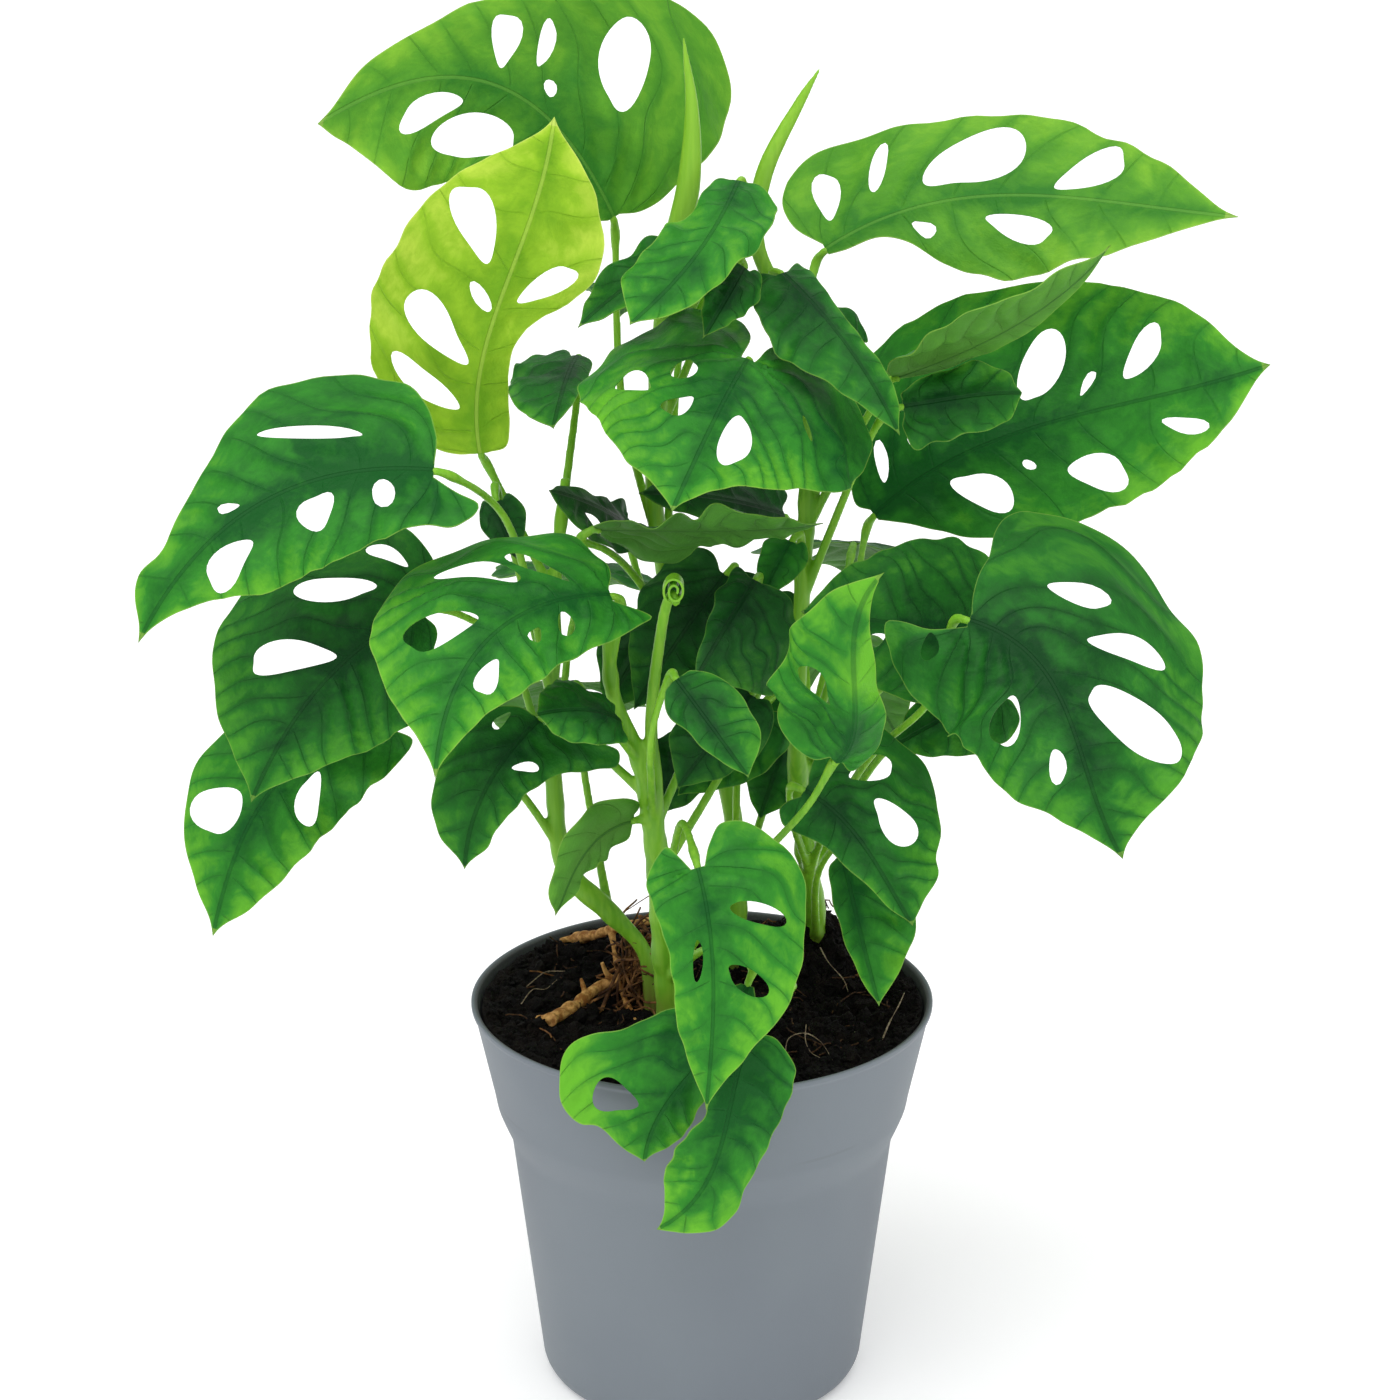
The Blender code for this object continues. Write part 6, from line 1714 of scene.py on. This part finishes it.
@dataclass
class Coil:
    """The tightly rolled new leaf on top of the short front shoot."""

    middle: Point = (-6.6, -43.0, 229.6)
    reach: Pair = (2.8, 3.8)
    start: float = 228.0
    turns: float = 1.75
    inner: float = 0.22
    half_width: float = 2.6
    thickness: float = 0.55
    steps: int = 84

    def build(self, material: bpy.types.Material) -> None:
        """Roll a thin strip into a spiral.

        Args:
            material: The stem's skin.
        """
        share = np.linspace(0.0, 1.0, self.steps)
        turn = math.radians(self.start) - TAU * self.turns * share
        size = 1.0 - (1.0 - self.inner) * share
        line = np.column_stack([np.cos(turn), np.sin(turn)]) * size[:, None] * np.array(self.reach)
        way = np.gradient(line, axis=0)
        aside = np.column_stack([-way[:, 1], way[:, 0]]) / np.linalg.norm(way, axis=1, keepdims=True)
        width = self.half_width * (0.35 + 0.65 * ease(share, 0.0, 0.25)) * (1.0 - 0.35 * share)
        corners = []
        for side, depth in ((1, -1), (1, 1), (-1, 1), (-1, -1)):
            flat = line + aside * side * self.thickness / 2
            corners.append(np.column_stack([flat[:, 0], depth * width, flat[:, 1]]) + self.middle)
        last = 4 * (self.steps - 1)
        faces = [(i + k, i + (k + 1) % 4, i + 4 + (k + 1) % 4, i + 4 + k)
                 for i in range(0, last, 4) for k in range(4)]
        faces += [(3, 2, 1, 0), (last, last + 1, last + 2, last + 3)]
        mesh = closed_shell(new_mesh("shoot_coil", np.stack(corners, axis=1).reshape(-1, 3), [], faces))
        finish_mesh(mesh, 50.0)
        dress("shoot_coil", mesh, material, "stem_green")


def rounded(corners: Sequence[Point], steps: int = 5) -> list[Pair]:
    """Round the corners of a half section.

    Args:
        corners: Each corner's radius from the axis, height and rounding.
        steps: Steps to each rounding.

    Returns:
        The section's points.
    """
    line = []
    for i, (x, z, radius) in enumerate(corners):
        here = np.array((x, z))
        if radius <= 0 or i in (0, len(corners) - 1):
            line.append((x, z))
            continue
        before, after = np.array(corners[i - 1][:2]), np.array(corners[i + 1][:2])
        reach = min(radius, 0.45 * np.linalg.norm(before - here), 0.45 * np.linalg.norm(after - here))
        start, end = here + unit(before - here) * reach, here + unit(after - here) * reach
        for share in np.linspace(0.0, 1.0, steps):
            point = start * (1 - share)**2 + 2 * here * share * (1 - share) + end * share**2
            line.append((float(point[0]), float(point[1])))
    return line


def turned(name: str, section: Sequence[Pair], steps: int) -> bpy.types.Mesh:
    """Turn a half section round the upright axis into a closed mesh.

    Args:
        name: The mesh's name.
        section: Points of radius and height in millimetres.
        steps: Steps round the axis.

    Returns:
        The closed mesh in metres.
    """
    points = np.array([(x, 0.0, z) for x, z in section])
    piece = linked(name, new_mesh(name, points, [(i, i + 1) for i in range(len(section) - 1)], []))
    screw = piece.modifiers.new("Turn", "SCREW")
    screw.steps = screw.render_steps = steps
    screw.use_merge_vertices, screw.merge_threshold = True, 0.00001
    return closed_shell(applied(piece))


@dataclass
class Pot:
    """The thin walled nursery pot with its stepped collar, rolled rim and drain holes.

    A corner is its radius from the axis, its height and its rounding.
    """

    steps: int = 144
    drains: int = 6
    drain_radius: float = 3.6
    drain_circle: float = 33.0
    outer: tuple[Point, ...] = (
        (37.0, 0.0, 0.5), (40.6, 1.2, 1.0), (42.2, 4.0, 1.6), (42.8, 9.0, 2.0), (50.0, 68.0, 2.0),
        (52.2, 73.0, 1.5), (53.6, 76.5, 1.2), (54.2, 80.0, 2.0), (59.2, 102.8, 0.5), (60.0, 103.8, 0.4),
        (60.0, 104.8, 0.3))
    lip: tuple[Point, ...] = ((59.6, 105.0, 0.2), (58.4, 104.6, 0.5))
    inner: tuple[Point, ...] = (
        (58.0, 103.0, 0.8), (52.9, 80.5, 2.0), (50.9, 73.5, 1.5), (48.7, 68.5, 2.0), (41.5, 9.5, 2.0),
        (40.0, 4.0, 1.5), (37.5, 1.8, 1.0))

    def build(self, material: bpy.types.Material) -> None:
        """Turn the wall, cut the drain holes and mark the inside.

        Args:
            material: The pot's plastic.
        """
        corners = [(0.0, 0.0, 0.0), *self.outer, *self.lip, *self.inner, (0.0, 1.6, 0.0)]
        body = linked("pot_body", turned("pot_body", rounded(corners), self.steps))
        cutters = bpy.data.collections.new("drain cutters")
        for number in range(self.drains):
            cutters.objects.link(self.drain(TAU * (number + 0.5) / self.drains))
        cut = body.modifiers.new("Drains", "BOOLEAN")
        cut.operand_type, cut.collection, cut.solver = "COLLECTION", cutters, "EXACT"
        mesh = applied(body)
        for cutter in cutters.objects:
            bpy.data.objects.remove(cutter)
        bpy.data.collections.remove(cutters)
        spots = spots_of(mesh.vertices)
        wide = np.interp(spots[:, 2], [z for _, z, _ in self.outer], [x for x, _, _ in self.outer])
        store(mesh, "inner", (np.hypot(spots[:, 0], spots[:, 1]) < wide - 0.8).astype(float))
        finish_mesh(mesh, 35.0)
        dress("pot_wall", mesh, material, "pot_plastic", "pot")

    def drain(self, turn: float) -> bpy.types.Object:
        """Make the cutter of a drain hole.

        Args:
            turn: The hole's turn round the axis, in radians.

        Returns:
            The cutter.
        """
        middle = Vector((self.drain_circle * math.cos(turn), self.drain_circle * math.sin(turn), 1.0)) * MM
        shape = bmesh.new()
        bmesh.ops.create_cone(shape, cap_ends=True, segments=24, radius1=self.drain_radius * MM,
                              radius2=self.drain_radius * MM, depth=8 * MM)
        bmesh.ops.translate(shape, vec=middle, verts=shape.verts)
        return linked("drain", from_shape("drain", shape))


@dataclass
class Soil:
    """The potting mix: a heaped, crumbly top over the pot's fill, with grains, flecks and fibres.

    A heap is its x, its y, its rise and its spread. The crumbs lie on the wide bed, and the rest on
    the narrow one.
    """

    rim: float = 57.2
    steps: int = 180
    rings: int = 62
    wide: float = 56.0
    narrow: float = 48.0
    heaps: tuple[tuple[float, ...], ...] = (
        (28, 26, 12, 16), (-26, 30, 4, 20), (8, -18, 1.5, 16), (33, 38, 6, 10))
    fill: tuple[Pair, ...] = (
        (0.0, 1.95), (36.5, 1.95), (39.3, 5.0), (41.15, 9.5), (48.35, 68.5), (50.55, 73.5), (52.55, 80.5))

    def height(self, spots: np.ndarray) -> np.ndarray:
        """Work out the surface, heaps and crumbs included.

        Args:
            spots: Places in millimetres.

        Returns:
            The surface's height at each place.
        """
        x, y = spots[:, 0], spots[:, 1]
        total = np.zeros(len(spots))
        for heap_x, heap_y, rise, spread in self.heaps:
            total += rise * np.exp(-((x - heap_x)**2 + (y - heap_y)**2) / spread**2)
        rough = 1.1 * swell(spots, 9.0, 3) + 0.8 * swell(spots, 4.0, 5, 9) + 0.45 * swell(spots, 1.9, 7, 11)
        inner = 1.0 - np.clip(np.hypot(x, y) / self.rim, 0.0, 1.0)**12
        return SOIL_HEIGHT + 1.2 + (total - 1.2) * inner + rough * np.clip(inner * 2.0, 0.35, 1.0)

    def bed(self, reach: float) -> bpy.types.Mesh:
        """Make an open piece of the surface.

        Args:
            reach: How far it goes from the middle.

        Returns:
            The open mesh.
        """
        shape = bmesh.new()
        bmesh.ops.create_grid(shape, x_segments=60, y_segments=60, size=reach * MM)
        far = [face for face in shape.faces if face.calc_center_median().xy.length > reach * MM]
        bmesh.ops.delete(shape, geom=far, context="FACES")
        for vert, height in zip(shape.verts, self.height(spots_of(shape.verts)[:, :2])):
            vert.co.z = float(height) * MM
        return from_shape("bed", shape)

    def top(self, mix: bpy.types.Material) -> None:
        """Make the fill with its rough top.

        Args:
            mix: The damp mix.
        """
        radii = self.rim * (1.0 - np.linspace(0.0, 1.0, self.rings))
        section = [*self.fill, (self.rim, SOIL_HEIGHT - 1.0), *((float(r), SOIL_HEIGHT) for r in radii)]
        mesh = turned("soil_fill", section, self.steps)
        spots = spots_of(mesh.vertices)
        upper = spots[:, 2] > SOIL_HEIGHT - 0.5
        spots[upper, 2] = self.height(spots[upper, :2])
        mesh.vertices.foreach_set("co", (spots * MM).astype(np.float32).ravel())
        finish_mesh(mesh, 180.0)
        dress("soil_fill", mesh, mix, "soil", "soil")

    def build(self) -> None:
        """Make the soil with what is strewn on it."""
        mix = SoilFinish().build()
        self.top(mix)
        lumps, fibres = scatter_graph(), fibre_graph()
        wide, narrow = self.bed(self.wide), self.bed(self.narrow)
        strewn = (
            ("soil_crumbs", lumps, wide, mix, {"Density": 4.5e5, "Seed": 4, "Size": 1.1 * MM}),
            ("soil_clods", lumps, narrow, mix, {"Density": 4.2e4, "Seed": 9, "Size": 2.5 * MM, "Facets": 2}),
            ("soil_flecks", lumps, narrow, FLECK_FINISH.build(),
             {"Density": 1.5e3, "Seed": 12, "Size": 0.8 * MM}),
            ("soil_fibres", fibres, narrow, FIBRE_FINISH.build(), {"Density": 1.5e4, "Seed": 2}),
            ("fine_roots", fibres, narrow, TANGLE_FINISH.build(),
             {"Density": 1.2e3, "Seed": 7, "Length": 0.016, "Bend": 0.007, "Girth": 0.00022}),
        )
        for name, graph, bed, material, inputs in strewn:
            mesh = graph.run(bed.copy(), material, **inputs)
            finish_mesh(mesh, 60.0)
            dress(name, mesh, material, "dry_root" if "root" in name else "soil")


@dataclass(frozen=True)
class Studio:
    """The pale floor, the soft lights and the photograph's camera.

    A lamp is its name, the place that it shines from, its strength and its spread in degrees.
    """

    lens: float = 107.36
    place: Point = (-0.0005, -1.001, 0.535)
    tilt: float = 70.8
    floor_reach: float = 12.0
    sky: float = 0.42
    lamps: tuple[tuple[str, Point, float, float], ...] = (
        ("key", (-0.45, -0.7, 1.6), 2.0, 70.0), ("fill", (1.2, -0.9, 0.9), 0.45, 80.0),
        ("back", (0.3, 1.0, 1.0), 0.5, 60.0))

    def build(self) -> None:
        """Make the floor, the lights, the sky and the camera."""
        shape = bmesh.new()
        bmesh.ops.create_grid(shape, x_segments=1, y_segments=1, size=self.floor_reach)
        floor = linked("floor", from_shape("floor", shape))
        floor.data.materials.append(FLOOR_FINISH.build())
        for name, source, strength, spread in self.lamps:
            lamp = bpy.data.lights.new(name, "SUN")
            lamp.energy, lamp.angle = strength, math.radians(spread)
            linked(name, lamp).rotation_euler = (-Vector(source)).to_track_quat("-Z", "Y").to_euler()
        world = bpy.data.worlds.new("studio")
        world.use_nodes = True
        air = world.node_tree.nodes["Background"].inputs
        air["Color"].default_value = (1.0, 1.0, 1.0, 1.0)
        air["Strength"].default_value = self.sky
        camera = bpy.data.cameras.new("camera")
        camera.lens, camera.sensor_width = self.lens, 36.0
        camera.clip_start, camera.clip_end = 0.05, 50.0
        holder = linked("camera", camera)
        holder.location = self.place
        holder.rotation_euler = (math.radians(self.tilt), 0.0, 0.0)
        scene = bpy.context.scene
        scene.world, scene.camera = world, holder
        scene.view_settings.view_transform = "Standard"


def build_leaves() -> None:
    """Make every leaf blade."""
    greens = {tone: (finish.build(), finish.slot) for tone, finish in LEAF_FINISHES.items()}
    for number, plan in enumerate(LEAVES):
        crimped = plan.name in CRIMPED or "inner" in plan.name
        ruffle, drift = (0.014, 0.022) if crimped else (0.008, 0.014)
        mesh = LeafMaker(plan, number + 1, ruffle, drift).mesh()
        dress(plan.name + "_blade", mesh, *greens[plan.tone], plan.name)
    for number, plan in enumerate(SMALL_LEAVES):
        mesh = LeafMaker(plan, number + 81, 0.02, 0.03).mesh()
        dress(plan.name, mesh, *greens[plan.tone])


def main() -> None:
    """Dress the whole plant and set the studio round it."""
    Studio().build()
    Pot().build(PotFinish().build())
    Soil().build()
    build_leaves()
    tubes = tube_graph()
    blades = {plan.name: Blade(plan) for plan in LEAVES}
    skin = StemFinish().build()
    for plan in VINES:
        VineMaker(plan, blades).build(tubes, skin)
    bark = DRY_ROOT_FINISH.build()
    for name, runs in DRY_ROOTS.items():
        RootMaker(runs).build(tubes, bark, name + "_bark", name)
    RootTangle().build(tubes, TANGLE_FINISH.build())
    RootMaker(STRAY_ROOTS, 0.16).build(tubes, FINE_ROOT_FINISH.build(), "stray_roots")
    Coil().build(skin)


if __name__ == "__main__":
    logging.basicConfig(level=logging.INFO, format="%(message)s")
    main()
